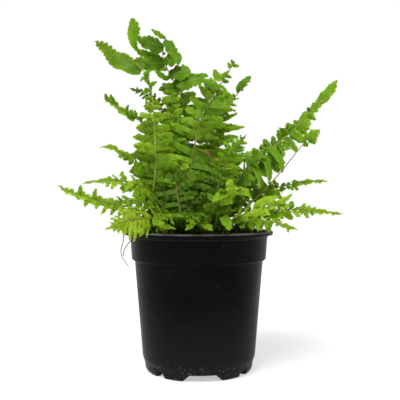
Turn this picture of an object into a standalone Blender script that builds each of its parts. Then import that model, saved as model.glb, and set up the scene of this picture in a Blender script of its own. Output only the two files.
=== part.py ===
"""A potted Boston fern: nursery pot, soil, crown, fronds and runners.

Lengths in the tables are in millimetres and are turned into metres by MM.
X is to the right, Y to the back, Z up. The origin is on the ground under the pot's axis.
"""

import itertools
import math
import random

import bmesh
import bpy
import numpy as np
from mathutils import Vector
from mathutils.bvhtree import BVHTree

MM = 0.001

# pot, from the six inch nursery size
LIP_RADIUS = 82.5
POT_HEIGHT = 153.0
COLLAR_DROP = 31.7
WALL = 1.4
BASE_RADIUS = 62.4
FOOT_HEIGHT = 6.6
FLOOR_BOTTOM = 7.2
FLOOR_TOP = 8.8
POT_STEPS = 36
FRONT_NOTCH = -85.5
WIDE_NOTCH = (13.5, 21.5)
SMALL_NOTCH = (3.2, 6.5)
NOTCHES = {0.0: WIDE_NOTCH, 49.0: SMALL_NOTCH, 131.0: SMALL_NOTCH,
           180.0: WIDE_NOTCH, 229.0: SMALL_NOTCH, 311.0: SMALL_NOTCH}
DRAIN_RADIUS = 4.5
DRAIN_RING = 40.0

# soil and crown
SOIL_FLAT = 137.0
SOIL_CREST = 140.5
GAP = 0.3
CROWN_RADIUS = 35.0
CROWN_HEIGHT = 11.5
CROWN_EDGE = 1.5
CROWN_RINGS = 6
CROWN_STEPS = 26
STIPE_DEPTH = 140.6
SOCKET_TOP = 152.0

# fronds
RIB_THICK = 1.8
RIB_HALF = 0.95
LEAF_THICK = 0.7
CLEARANCE = 0.45
STIPE_STEP = 22.0
TOOTH_ROWS = 8
LEAFLET_WIDTH = 11.0
SWEEP_LOW = 14.0
SWEEP_TIP = 48.0
LIFT = 9.0
TWIST = 10.0
END_LEAF_HALF = 2.6
FOLDS = (0, 14, -14, 28, -28, 44, -44, 60, -60, 76)
LENGTHS = (1.0, 0.84, 0.68, 0.52, 0.38)
RUNNER_RADIUS = 0.55
RUNNER_POINTS = 17
SOCKET_FOOT_RADIUS = 1.2
SOCKET_MOUTH_RADIUS = 2.2
SOCKET_DEPTH = 8.0

# name, facing azimuth, roll, blade half width, leaflets, bare share, foot (x, y), route (x, y, z)
FRONDS = (
    ("frond_centre_front", 90, 0, 26, 29, 0.14, (-10, -13),
     ((-11, -10, 165), (-10, -6, 216), (1, 2, 273), (16, 8, 304), (41, 14, 345))),
    ("frond_centre_left", 112, 0, 20, 24, 0.18, (-19, -10),
     ((-37, -10, 164), (-50, -12, 185), (-47, -14, 229), (-50, -10, 280), (-56, -4, 322), (-76, -4, 345))),
    ("frond_centre_top", 110, -10, 20, 20, 0.30, (-7, 8),
     ((-10, 12, 165), (-14, 16, 244), (-20, 16, 302), (-33, 14, 330), (-41, 12, 350), (-38, 10, 373))),
    ("frond_upper_right", 60, 0, 20, 19, 0.18, (5, 4),
     ((10, 8, 165), (17, 14, 221), (22, 20, 271), (37, 26, 300), (61, 30, 330))),
    ("frond_right_tall", 0, -48, 20, 23, 0.28, (17, 2),
     ((33, 4, 165), (50, 6, 204), (70, 8, 234), (110, 10, 269), (157, 12, 321))),
    ("frond_right_sparse", -10, -40, 12, 7, 0.80, (22, -6),
     ((36, -6, 163), (65, -14, 191), (86, -20, 214), (115, -24, 250), (129, -26, 262))),
    ("frond_right_level", 10, -35, 12, 15, 0.38, (26, 5),
     ((42, 8, 165), (60, 11, 186), (83, 16, 199), (124, 24, 208), (150, 28, 209))),
    ("frond_right_low", -12, -40, 13, 17, 0.28, (24, -13),
     ((34, -15, 162), (66, -22, 174), (106, -25, 177), (154, -27, 172))),
    ("frond_right_rim", -35, -20, 12, 13, 0.32, (17, -20),
     ((25, -28, 158), (53, -48, 166), (78, -60, 164), (100, -66, 157))),
    ("frond_left_high", 165, 15, 15, 15, 0.42, (-14, 7),
     ((-20, 12, 170), (-38, 16, 233), (-65, 20, 275), (-80, 22, 285), (-104, 24, 303))),
    ("frond_left_mid", 183, 35, 13, 15, 0.34, (-22, 2),
     ((-27, 4, 165), (-46, 0, 207), (-72, -4, 230), (-97, -6, 246), (-109, -8, 245))),
    ("frond_left_lower", 198, 30, 15, 15, 0.26, (-21, -15),
     ((-30, -16, 165), (-53, -22, 196), (-75, -27, 206), (-101, -32, 208), (-122, -34, 205))),
    ("frond_left_far", 180, 40, 14, 23, 0.22, (-26, -4),
     ((-36, -5, 162), (-56, -2, 172), (-78, 0, 179), (-106, -1, 185), (-140, -2, 195), (-157, -2, 203))),
    ("frond_left_rim", 215, 50, 16, 19, 0.22, (-15, -22),
     ((-24, -34, 160), (-46, -56, 168), (-68, -72, 167), (-92, -80, 158))),
    ("frond_left_sprig", 150, 30, 10, 7, 0.66, (-11, 16),
     ((-14, 21, 170), (-30, 27, 250), (-44, 31, 295), (-60, 31, 311), (-81, 32, 318))),
    ("frond_centre_mid", 80, 10, 18, 19, 0.12, (-8, -19),
     ((-18, -19, 165), (-24, -10, 195), (-27, 0, 225), (-28, 6, 262), (-30, 10, 310))),
    ("frond_front_left", 245, 0, 13, 15, 0.14, (-9, -26),
     ((-15, -40, 160), (-24, -58, 170), (-34, -78, 172), (-43, -97, 162))),
    ("frond_front_right", 295, 0, 17, 15, 0.14, (8, -25),
     ((14, -38, 166), (20, -51, 184), (29, -67, 196), (41, -85, 199))),
    ("frond_front", 268, 0, 13, 15, 0.16, (-1, -28),
     ((-1, -42, 160), (-3, -60, 171), (-5, -80, 173), (-7, -103, 164))),
    ("frond_centre_right", 60, -20, 17, 17, 0.14, (12, -9),
     ((17, -13, 170), (22, -18, 205), (34, -24, 235), (50, -30, 256))),
    ("frond_right_mid", -5, -35, 16, 15, 0.20, (14, -3),
     ((28, -2, 172), (42, -2, 205), (60, -4, 232), (80, -6, 248))),
    ("frond_right_light", -20, -35, 12, 13, 0.30, (16, -14),
     ((32, -23, 163), (52, -30, 173), (76, -36, 180), (97, -43, 182))),
    ("frond_left_light", 208, 25, 12, 13, 0.28, (-19, -19),
     ((-32, -28, 163), (-52, -40, 181), (-72, -49, 187), (-92, -58, 182))),
    ("frond_young_left", 215, 0, 10, 9, 0.16, (-14, -27),
     ((-19, -34, 160), (-29, -44, 172), (-41, -54, 176))),
    ("frond_young_right", 320, 0, 10, 9, 0.16, (11, -30),
     ((17, -37, 160), (27, -48, 173), (38, -60, 178))),
    ("frond_young_front", 275, 0, 10, 9, 0.16, (2, -22),
     ((3, -30, 170), (5, -38, 186), (9, -50, 194))),
    ("frond_back_left", 115, 0, 16, 17, 0.24, (-12, 20),
     ((-20, 32, 175), (-34, 52, 222), (-50, 76, 248), (-66, 100, 252))),
    ("frond_back", 88, 0, 17, 19, 0.22, (0, 22),
     ((2, 36, 180), (4, 56, 235), (5, 79, 262), (5, 100, 264))),
    ("frond_back_right", 62, 0, 16, 17, 0.24, (13, 19),
     ((22, 32, 175), (38, 54, 222), (54, 76, 243), (70, 99, 246))),
    ("frond_back_tall", 110, 0, 17, 19, 0.24, (-5, 15),
     ((-11, 23, 190), (-24, 40, 258), (-40, 62, 306))),
    ("frond_back_upright", 70, 0, 16, 17, 0.24, (5, 13),
     ((9, 22, 190), (19, 44, 252), (30, 66, 290))),
    ("frond_back_low_left", 135, 0, 14, 15, 0.26, (-19, 19),
     ((-32, 32, 168), (-54, 52, 186), (-74, 74, 190), (-94, 96, 180))),
    ("frond_back_low", 98, 0, 14, 15, 0.26, (-4, 28),
     ((-6, 44, 168), (-9, 63, 186), (-12, 83, 190), (-16, 102, 181))),
    ("frond_back_low_right", 45, 0, 14, 15, 0.26, (19, 20),
     ((34, 34, 170), (54, 54, 190), (74, 76, 194), (94, 98, 184))),
    ("frond_side_left", 145, 15, 14, 13, 0.30, (-22, 10),
     ((-32, 18, 168), (-50, 34, 198), (-66, 48, 216), (-82, 62, 222))),
    ("frond_side_right", 35, -15, 14, 13, 0.30, (22, 11),
     ((34, 20, 168), (50, 34, 196), (66, 50, 214), (84, 64, 221))),
)

# the broad leaflets near the ends of two fronds: leaflet counted from the tip, root to tip, width
BROAD_LEAVES = {
    "frond_centre_left": ((2, (-50, 8, 30), 18),),
    "frond_centre_top": ((0, (-17, -4, 11), 9), (1, (14, -8, -22), 15), (2, (-26, -12, 15), 17),
                         (3, (-33, -4, 44), 15), (4, (-34, -8, 5), 17), (5, (20, -10, 3), 14),
                         (7, (33, -12, 6), 16)),
}

# runner name, foot (x, y), route (x, y, z)
RUNNERS = (
    ("runner_light", (-64, -23), ((-64.6, -23.4, 148), (-71, -28, 155.6), (-76.5, -33, 156), (-79.5, -37, 150),
                                  (-80, -39, 142), (-82, -40, 135), (-80.5, -41, 127), (-73.5, -43, 117))),
    ("runner_dark", (-54, -42), ((-54.6, -42.4, 148), (-60, -49, 155.6), (-63.5, -54, 156.2),
                                 (-67, -57, 149), (-72.5, -57, 142), (-76.5, -55, 136), (-78, -52.5, 129))),
)


def clear_scene():
    """Removes every object that the open file holds."""
    for old in list(bpy.data.objects):
        bpy.data.objects.remove(old, do_unlink=True)


def new_collection(name):
    """Returns a new collection that is linked to the scene."""
    collection = bpy.data.collections.new(name)
    bpy.context.scene.collection.children.link(collection)
    return collection


def material(name, colour, roughness):
    """Returns a plain Principled material."""
    finish = bpy.data.materials.new(name)
    finish.use_nodes = True
    shader = finish.node_tree.nodes["Principled BSDF"]
    shader.inputs["Base Color"].default_value = (*colour, 1.0)
    shader.inputs["Roughness"].default_value = roughness
    shader.inputs["Metallic"].default_value = 0.0
    return finish


def mesh_object(name, points, faces, collection, finish=None):
    """Makes an object from points in millimetres and the faces between them."""
    mesh = bpy.data.meshes.new(name)
    mesh.from_pydata([tuple(c * MM for c in p) for p in points], [], faces)
    obj = bpy.data.objects.new(name, mesh)
    collection.objects.link(obj)
    if finish:
        mesh.materials.append(finish)
    return obj


def turned(name, profile, steps, collection, finish):
    """Turns a profile of (radius, height) about Z. It runs down its outer side."""
    mesh = bpy.data.meshes.new(name)
    edges = [(i, i + 1) for i in range(len(profile) - 1)]
    mesh.from_pydata([(r * MM, 0.0, z * MM) for r, z in profile], edges, [])
    mesh.materials.append(finish)
    obj = bpy.data.objects.new(name, mesh)
    collection.objects.link(obj)
    screw = obj.modifiers.new("turn", "SCREW")
    screw.steps = steps
    screw.render_steps = steps
    screw.use_merge_vertices = True
    screw.merge_threshold = 0.00005
    screw.use_smooth_shade = True
    return obj


def cut(target, cutter):
    """Takes the cutter out of the target, and keeps the cutter out of the model."""
    cutter.hide_render = True
    cutter.display_type = "WIRE"
    boolean = target.modifiers.new("cut_" + cutter.name, "BOOLEAN")
    boolean.operation = "DIFFERENCE"
    boolean.object = cutter


def wall_radius(height):
    """Outer radius of the pot's tapered body, or of its collar, at a height."""
    collar_bottom = POT_HEIGHT - COLLAR_DROP
    if height > collar_bottom:
        return 74.5 + 1.7 * (height - collar_bottom) / (146.0 - collar_bottom)
    return BASE_RADIUS + 8.9 * (height - 15.0) / (collar_bottom - 15.0)


def make_pot(parts, cutters):
    """The moulded pot: lip, collar, tapered wall, floor with drain holes and six feet."""
    collar_bottom = POT_HEIGHT - COLLAR_DROP
    inside = [
        (0.0, FLOOR_TOP),
        (57.0, FLOOR_TOP),
        (60.9, 15.6),
        (wall_radius(120.0) - WALL, 121.0),
        (wall_radius(123.0) - WALL, 123.2),
        (74.9, 146.0),
        (78.8, 152.0),
    ]
    outside = [
        (79.8, POT_HEIGHT),
        (81.7, POT_HEIGHT),
        (LIP_RADIUS, 152.2),
        (LIP_RADIUS, 149.4),
        (81.7, 148.6),
        (77.4, 148.2),
        (76.9, 146.2),
        (wall_radius(146.0), 145.8),
        (wall_radius(122.2), 122.2),
        (73.9, collar_bottom),
        (71.7, collar_bottom - 0.2),
        (wall_radius(120.2), 120.2),
        (BASE_RADIUS, 15.0),
        (60.4, 10.4),
        (59.4, 3.2),
        (57.4, 0.0),
        (51.0, 0.0),
        (50.4, FLOOR_BOTTOM),
        (0.0, FLOOR_BOTTOM),
    ]
    finish = material("pot_plastic", (0.012, 0.013, 0.014), 0.42)
    pot = turned("pot", inside + outside, POT_STEPS, parts, finish)
    cut(pot, notch_cutter(cutters))
    cut(pot, drain_cutter(cutters))
    return pot


def notch_cutter(cutters):
    """One mesh of six wedges, two wide and four small, which part the foot ring into six feet."""
    tool = bmesh.new()
    for place, (top_half, foot_half) in NOTCHES.items():
        angle = math.radians(FRONT_NOTCH + place)
        made = bmesh.ops.create_cube(tool, size=2.0)["verts"]
        for vert in made:
            radius = 70.0 if vert.co.x > 0 else 40.0
            top = vert.co.z > 0
            half = math.radians(top_half if top else foot_half)
            turn = angle + (half if vert.co.y > 0 else -half)
            height = FOOT_HEIGHT if top else -2.0
            vert.co = Vector((radius * math.cos(turn), radius * math.sin(turn), height)) * MM
    mesh = bpy.data.meshes.new("foot_notches")
    tool.to_mesh(mesh)
    tool.free()
    obj = bpy.data.objects.new("foot_notches", mesh)
    cutters.objects.link(obj)
    return obj


def drain_cutter(cutters):
    """One mesh of round pins: a drain hole behind each notch and one in the middle."""
    tool = bmesh.new()
    centres = [(0.0, 0.0)]
    for place in NOTCHES:
        angle = math.radians(FRONT_NOTCH + place)
        centres.append((DRAIN_RING * math.cos(angle), DRAIN_RING * math.sin(angle)))
    for x, y in centres:
        pin = bmesh.ops.create_cone(tool, cap_ends=True, segments=12, radius1=DRAIN_RADIUS * MM,
                                    radius2=DRAIN_RADIUS * MM, depth=0.006)["verts"]
        bmesh.ops.translate(tool, verts=pin, vec=Vector((x, y, 8.0)) * MM)
    mesh = bpy.data.meshes.new("drain_pins")
    tool.to_mesh(mesh)
    tool.free()
    obj = bpy.data.objects.new("drain_pins", mesh)
    cutters.objects.link(obj)
    return obj


def make_soil(parts):
    """The soil fills the pot to 13 mm below its lip, with a flat place for the crown."""
    profile = [
        (0.0, SOIL_FLAT),
        (41.0, SOIL_FLAT),
        (46.0, SOIL_CREST),
        (62.0, SOIL_CREST + 0.6),
        (wall_radius(138.0) - WALL - GAP, 138.5),
        (wall_radius(124.0) - WALL - GAP, 123.8),
        (wall_radius(120.0) - WALL - GAP, 121.2),
        (60.9 - GAP, 15.6),
        (57.0 - GAP, FLOOR_TOP + GAP),
        (0.0, FLOOR_TOP + GAP),
    ]
    return turned("soil", profile, POT_STEPS, parts, material("peat", (0.035, 0.022, 0.013), 0.95))


def crown_reach(angle):
    """The crown's outline: a circle with three low lobes."""
    return CROWN_RADIUS * (1.0 + 0.05 * math.sin(3.0 * angle + 0.6))


def crown_height(x, y):
    """Height of the crown's domed and lumpy top over the ground."""
    share = min(1.0, math.hypot(x, y) / crown_reach(math.atan2(y, x)))
    lump = 0.7 * math.sin(x * 0.33 + 1.0) * math.sin(y * 0.37)
    return SOIL_FLAT + GAP + CROWN_EDGE + (CROWN_HEIGHT + lump) * math.sqrt(1.0 - 0.9 * share ** 2)


def make_crown(parts, cutters, stipes):
    """The rhizome mat that the fronds grow from: a low dome, with a hole round each stipe."""
    base = SOIL_FLAT + GAP
    rings = CROWN_RINGS
    around = CROWN_STEPS
    points = [(0.0, 0.0, crown_height(0.0, 0.0))]
    for ring in range(1, rings + 1):
        for step in range(around):
            angle = 2.0 * math.pi * step / around
            radius = crown_reach(angle) * ring / rings
            x, y = radius * math.cos(angle), radius * math.sin(angle)
            points.append((x, y, crown_height(x, y)))
    faces = [(0, 1 + step, 1 + (step + 1) % around) for step in range(around)]
    for ring in range(1, rings):
        for step in range(around):
            a = 1 + (ring - 1) * around + step
            b = 1 + (ring - 1) * around + (step + 1) % around
            faces.append((a, a + around, b + around))
            faces.append((a, b + around, b))
    outer = 1 + (rings - 1) * around
    foot = len(points)
    points += [(points[outer + step][0], points[outer + step][1], base) for step in range(around)]
    for step in range(around):
        after = (step + 1) % around
        faces.append((outer + step, foot + step, foot + after, outer + after))
    faces.append(tuple(foot + step for step in reversed(range(around))))
    crown = mesh_object("crown", points, faces, parts, material("rhizome", (0.09, 0.05, 0.022), 0.85))
    sockets = [], []
    for path, frames in stipes:
        count = 1 + int(np.argmax(path[:, 2] > SOCKET_TOP))
        add_tube(sockets, path[:count], frames[:count], RIB_HALF + GAP, RIB_THICK / 2.0 + GAP, GAP)
    cut(crown, mesh_object("stipe_sockets", sockets[0], sockets[1], cutters))
    return crown


def smooth_route(route, spacing):
    """Even points, about a spacing apart, on a Catmull-Rom curve through the route."""
    knots = np.array(route, float)
    ends = np.vstack((2 * knots[0] - knots[1], knots, 2 * knots[-1] - knots[-2]))
    share = np.linspace(0.0, 1.0, 24, endpoint=False)[:, None]
    fine = []
    for i in range(len(knots) - 1):
        p0, p1, p2, p3 = ends[i:i + 4]
        fine.append(0.5 * (2 * p1 + (p2 - p0) * share + (2 * p0 - 5 * p1 + 4 * p2 - p3) * share ** 2
                           + (3 * p1 - 3 * p2 + p3 - p0) * share ** 3))
    fine = np.vstack(fine + [knots[-1:]])
    along = np.concatenate(([0.0], np.cumsum(np.linalg.norm(np.diff(fine, axis=0), axis=1))))
    marks = spacing(along[-1])
    return np.column_stack([np.interp(marks, along, fine[:, axis]) for axis in range(3)])


def blade_frames(path, facing, roll):
    """Tangent, side and upper normal at each point of a rachis.

    The side lies level and square to the facing azimuth, then turns by roll about the rachis.
    """
    tangent = np.gradient(path, axis=0)
    tangent /= np.linalg.norm(tangent, axis=1)[:, None]
    turn = math.radians(facing)
    side = np.array((math.sin(turn), -math.cos(turn), 0.0)) * np.ones_like(path)
    side -= tangent * (side * tangent).sum(1)[:, None]
    side /= np.linalg.norm(side, axis=1)[:, None]
    upper = np.cross(side, tangent)
    tilt = math.radians(roll)
    return list(zip(tangent, side * math.cos(tilt) + upper * math.sin(tilt),
                    upper * math.cos(tilt) - side * math.sin(tilt)))


def add_tube(mesh, path, frames, half_width, half_thick, extra_end=0.0):
    """Adds a closed four-sided tube along a path, its first end lengthened by extra_end."""
    points, faces = mesh
    start = len(points)
    for index, (point, (tangent, side, upper)) in enumerate(zip(path, frames)):
        centre = point - tangent * extra_end if index == 0 else point
        for a, b in ((-1, -1), (1, -1), (1, 1), (-1, 1)):
            points.append(tuple(centre + side * (a * half_width) + upper * (b * half_thick)))
    for index in range(len(path) - 1):
        ring = start + 4 * index
        for corner in range(4):
            after = (corner + 1) % 4
            faces.append((ring + corner, ring + 4 + corner, ring + 4 + after, ring + after))
    last = start + 4 * (len(path) - 1)
    faces.append((start, start + 1, start + 2, start + 3))
    faces.append((last + 3, last + 2, last + 1, last))


def blade_share(s):
    """Leaflet length along the blade, as a share of the longest: short, full, then tapered."""
    return (0.55 + 0.45 * min(1.0, s / 0.22)) * max(0.0, 1.0 - s ** 2.6) ** 0.75 + 0.10


class Frond:
    """One frond: its rachis stations, and then its leaflets, each bent clear of the others."""

    def __init__(self, row):
        (self.name, facing, roll, self.half_width, self.leaflets, self.bare, foot, route) = row
        start = (foot[0], foot[1], STIPE_DEPTH)
        self.path = smooth_route((start,) + route, self.station_marks)
        self.frames = blade_frames(self.path, facing, roll)
        self.stipe_stations = len(self.path) - self.leaflets - 1
        tube = [], []
        add_tube(tube, self.path, self.frames, RIB_HALF + CLEARANCE, RIB_THICK / 2 + CLEARANCE)
        self.rachis_tree = BVHTree.FromPolygons(tube[0], tube[1])
        self.leaf_tree = None
        self.broad = {self.leaflets - 1 - n: (reach, width)
                      for n, reach, width in BROAD_LEAVES.get(self.name, ())}

    def station_marks(self, length):
        """Distances of the stations: coarse along the bare stipe, one for each leaflet above."""
        bare = length * self.bare
        below = max(2, round(bare / STIPE_STEP))
        stipe = np.linspace(0.0, bare, below, endpoint=False)
        share = np.linspace(0.0, 1.0, self.leaflets + 1)
        return np.concatenate((stipe, bare + (length - bare) * (1.12 * share - 0.12 * share ** 2)))

    def leaflet_outline(self, index, fold, shorten, chance):
        """One leaflet's rows of (lower, upper) edge points, its tip and its normal."""
        station = self.stipe_stations + index
        hand = 1.0 if index % 2 == 0 else -1.0
        tangent, side, upper = self.frames[station]
        low, high = self.path[station], self.path[station + 1]
        pitch = np.linalg.norm(high - low)
        s = (index + 0.5) / self.leaflets
        root_low = low + side * (hand * RIB_HALF)
        root_high = high + self.frames[station + 1][1] * (hand * RIB_HALF)
        middle = (root_low + root_high) / 2
        if index in self.broad:
            reach, width = self.broad[index]
            axis = np.array(reach, float)
            length = np.linalg.norm(axis) * shorten
            axis /= np.linalg.norm(axis)
            across = np.cross(axis, (0.0, 1.0, 0.0))
            across *= 1.0 if np.dot(across, tangent) > 0 else -1.0
            return self.toothed(root_low, root_high, middle, axis, across, length, width)
        sweep = math.radians(SWEEP_LOW + (SWEEP_TIP - SWEEP_LOW) * s ** 2 + 5 * chance[0])
        outward = side * hand * math.cos(sweep) + tangent * math.sin(sweep)
        lift = math.radians(fold + LIFT + LIFT * chance[1])
        axis = outward * math.cos(lift) + upper * math.sin(lift)
        across = tangent * math.cos(sweep) - side * hand * math.sin(sweep)
        twist = math.radians(TWIST * chance[2])
        normal = np.cross(axis, across) * hand
        across = across * math.cos(twist) + normal * math.sin(twist)
        length = self.half_width * blade_share(s) * shorten * (1 + 0.06 * chance[3])
        width = min(LEAFLET_WIDTH, 1.62 * pitch)
        lower = middle + axis * (0.60 * length) - across * (0.42 * width)
        higher = middle + axis * (0.38 * length) + across * (0.54 * width)
        tip = middle + axis * length - upper * (0.10 * length)
        return [(root_low, root_high), (lower, higher)], tip, normal

    @staticmethod
    def toothed(root_low, root_high, middle, axis, across, length, width):
        """A broad leaflet with teeth: rows that are wide and narrow by turns."""
        rows = [(root_low, root_high)]
        for row in range(1, TOOTH_ROWS):
            share = row / TOOTH_ROWS
            half = 0.5 * width * (math.sin(math.pi * share ** 0.72) ** 0.6) * (1.0 if row % 2 else 0.80)
            centre = middle + axis * (length * share)
            rows.append((centre - across * half, centre + across * half))
        return rows, middle + axis * length, np.cross(axis, across)

    def place_leaflets(self, others, solids, draw):
        """Chooses each leaflet's fold and length so that it is clear of all that stands already."""
        self.outlines = {}
        for index in range(self.leaflets):
            chance = [draw.uniform(-1, 1) for _ in range(4)]
            for shorten, fold in itertools.product(LENGTHS, FOLDS):
                outline = self.leaflet_outline(index, fold, shorten, chance)
                if self.is_clear(outline, others, solids):
                    self.outlines[index] = outline
                    break
        points, faces = [], []
        for rows, tip, normal in self.outlines.values():
            add_plate(points, faces, rows, tip, normal, LEAF_THICK / 2, 0.0)
        self.leaf_tree = BVHTree.FromPolygons(points, faces)

    def is_clear(self, outline, others, solids):
        """Tells whether a leaflet, thickened by the clearance, touches nothing that stands."""
        points, faces = [], []
        rows, tip, normal = outline
        add_plate(points, faces, rows, tip, normal, LEAF_THICK / 2 + CLEARANCE, CLEARANCE)
        probe = BVHTree.FromPolygons(points, faces)
        if any(probe.overlap(tree) for tree in solids):
            return False
        for other in others:
            if other is self:
                continue
            if probe.overlap(other.rachis_tree):
                return False
            if other.leaf_tree and probe.overlap(other.leaf_tree):
                return False
        return True

    def build(self, parts, finish):
        """One open sheet of the rib and its leaflets, thickened into a closed solid."""
        points, faces, thin = [], [], []
        for point, (_, side, _) in zip(self.path, self.frames):
            points += [point - side * RIB_HALF, point + side * RIB_HALF]
        for station in range(len(self.path) - 1):
            a = 2 * station
            faces += [(a, a + 1, a + 3), (a, a + 3, a + 2)]
        for index, (rows, tip, _) in self.outlines.items():
            station = self.stipe_stations + index
            offset = 1 if index % 2 == 0 else 0
            low, high = 2 * station + offset, 2 * station + 2 + offset
            for lower, higher in rows[1:]:
                new = len(points)
                points += [lower, higher]
                thin += [new, new + 1]
                add_quad(faces, low, new, new + 1, high, index % 2 == 1)
                low, high = new, new + 1
            points.append(tip)
            thin.append(len(points) - 1)
            add_triangle(faces, low, len(points) - 1, high, index % 2 == 1)
        last = len(self.path) - 1
        tangent, side, _ = self.frames[last]
        reach = 0.30 * self.half_width
        end = len(points)
        points += [self.path[last] - side * END_LEAF_HALF + tangent * reach * 0.7,
                   self.path[last] + side * END_LEAF_HALF + tangent * reach * 0.7,
                   self.path[last] + tangent * reach * 1.9]
        thin += [end, end + 1, end + 2]
        faces += [(2 * last, 2 * last + 1, end + 1), (2 * last, end + 1, end), (end, end + 1, end + 2)]
        obj = mesh_object(self.name, points, faces, parts, finish)
        group = obj.vertex_groups.new(name="thickness")
        group.add(list(range(len(points))), 1.0, "REPLACE")
        group.add(thin, LEAF_THICK / RIB_THICK, "REPLACE")
        shell = obj.modifiers.new("thickness", "SOLIDIFY")
        shell.thickness = RIB_THICK * MM
        shell.offset = 0.0
        shell.vertex_group = group.name
        shell.use_even_offset = False
        return obj


def add_triangle(faces, a, b, c, flip):
    """Adds a triangle, turned over if flip is set."""
    faces.append((a, c, b) if flip else (a, b, c))


def add_quad(faces, a, b, c, d, flip):
    """Adds a quad as two triangles, turned over if flip is set."""
    add_triangle(faces, a, b, c, flip)
    add_triangle(faces, a, c, d, flip)


def add_plate(points, faces, rows, tip, normal, half_thick, grow):
    """Adds a closed plate of a leaflet's outline, grown a little past its own edges."""
    outline = [row[0] for row in rows] + [tip] + [row[1] for row in reversed(rows)]
    middle = sum(outline) / len(outline)
    start = len(points)
    count = len(outline)
    shift = normal / np.linalg.norm(normal) * half_thick
    grown = [p + (p - middle) / max(1e-6, np.linalg.norm(p - middle)) * grow for p in outline]
    points += [tuple(p + shift) for p in grown] + [tuple(p - shift) for p in grown]
    for low in range(len(rows)):
        high = count - 1 - low
        for base, flip in ((start, False), (start + count, True)):
            if high - low > 2:
                add_quad(faces, base + low, base + low + 1, base + high - 1, base + high, flip)
            else:
                add_triangle(faces, base + low, base + low + 1, base + high, flip)
    for i in range(count):
        after = (i + 1) % count
        faces.append((start + i, start + count + i, start + count + after, start + after))


def make_runner(name, foot, route, parts, finish):
    """A thin leafless stem: a poly curve with a round section, its foot in the soil."""
    path = smooth_route(((foot[0], foot[1], SOIL_FLAT + 1.0),) + route,
                        lambda length: np.linspace(0.0, length, RUNNER_POINTS))
    curve = bpy.data.curves.new(name, "CURVE")
    curve.dimensions = "3D"
    curve.bevel_depth = RUNNER_RADIUS * MM
    curve.bevel_resolution = 1
    curve.use_fill_caps = True
    spline = curve.splines.new("POLY")
    spline.points.add(len(path) - 1)
    for point, place in zip(spline.points, path):
        point.co = (*(place * MM), 1.0)
    obj = bpy.data.objects.new(name, curve)
    curve.materials.append(finish)
    parts.objects.link(obj)
    return obj, path


def soil_sockets(cutters, paths):
    """Plain holes in the soil for the runners' feet."""
    tool = bmesh.new()
    for path in paths:
        hole = bmesh.ops.create_cone(tool, cap_ends=True, segments=8, radius1=SOCKET_FOOT_RADIUS * MM,
                                     radius2=SOCKET_MOUTH_RADIUS * MM, depth=SOCKET_DEPTH * MM)["verts"]
        bmesh.ops.translate(tool, verts=hole, vec=Vector((*path[0][:2], SOIL_FLAT + 4.7)) * MM)
    mesh = bpy.data.meshes.new("runner_sockets")
    tool.to_mesh(mesh)
    tool.free()
    obj = bpy.data.objects.new("runner_sockets", mesh)
    cutters.objects.link(obj)
    return obj


def main():
    clear_scene()
    parts = new_collection("potted_boston_fern")
    cutters = new_collection("cutters")
    pot = make_pot(parts, cutters)
    soil = make_soil(parts)
    green = material("leaf_green", (0.19, 0.36, 0.03), 0.5)
    tan = material("runner_green", (0.32, 0.33, 0.10), 0.5)
    runner_paths = [make_runner(name, foot, route, parts, tan)[1] for name, foot, route in RUNNERS]
    cut(soil, soil_sockets(cutters, runner_paths))
    fronds = [Frond(row) for row in FRONDS]
    crown = make_crown(parts, cutters, [(frond.path, frond.frames) for frond in fronds])
    bpy.context.view_layer.update()
    graph = bpy.context.evaluated_depsgraph_get()
    solids = []
    for obj in (pot, soil, crown):
        shape = obj.evaluated_get(graph).to_mesh()
        solids.append(BVHTree.FromPolygons([tuple(v.co / MM) for v in shape.vertices],
                                           [tuple(p.vertices) for p in shape.polygons]))
    for path in runner_paths:
        tube = [], []
        add_tube(tube, path, blade_frames(path, 200, 0), RUNNER_RADIUS + CLEARANCE,
                 RUNNER_RADIUS + CLEARANCE)
        solids.append(BVHTree.FromPolygons(tube[0], tube[1]))
    draw = random.Random(11)
    for frond in fronds:
        frond.place_leaflets(fronds, solids, draw)
        frond.build(parts, green)


main()
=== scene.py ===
"""The looks of a potted Boston fern: fine leaflets, stems, soil, crown and a moulded pot.

Lengths are in millimetres and angles in degrees, unless a name says otherwise. X is to the
right, Y to the back, Z up, and every piece's place is in its mesh.
"""

import math
from collections import namedtuple
from itertools import chain, combinations
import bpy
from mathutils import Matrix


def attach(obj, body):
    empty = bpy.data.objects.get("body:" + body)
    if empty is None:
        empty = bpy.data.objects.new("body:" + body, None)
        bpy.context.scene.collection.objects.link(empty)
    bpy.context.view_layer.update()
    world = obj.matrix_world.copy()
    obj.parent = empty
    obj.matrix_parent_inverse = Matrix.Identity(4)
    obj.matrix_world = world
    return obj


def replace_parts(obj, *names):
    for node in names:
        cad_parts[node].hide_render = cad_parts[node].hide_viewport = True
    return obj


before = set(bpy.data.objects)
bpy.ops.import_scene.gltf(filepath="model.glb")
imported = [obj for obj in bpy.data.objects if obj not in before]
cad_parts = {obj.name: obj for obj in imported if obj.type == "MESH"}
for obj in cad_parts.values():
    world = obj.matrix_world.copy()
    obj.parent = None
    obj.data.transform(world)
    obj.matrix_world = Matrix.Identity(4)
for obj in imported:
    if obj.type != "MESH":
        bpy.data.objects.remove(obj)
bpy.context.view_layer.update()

from types import SimpleNamespace

import bpy
import numpy as np

MM = 0.001

# camera: level, in front of the pot, a little above its lip; the floor's radius is in metres
CAMERA_PLACE = (1.3, -685.0, 187.0)
FOCAL_PIXELS = 612.0
IMAGE_PIXELS = 400.0
SENSOR = 36.0
FLOOR_RADIUS = 4.0
FLOOR_SIDES = 96

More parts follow.
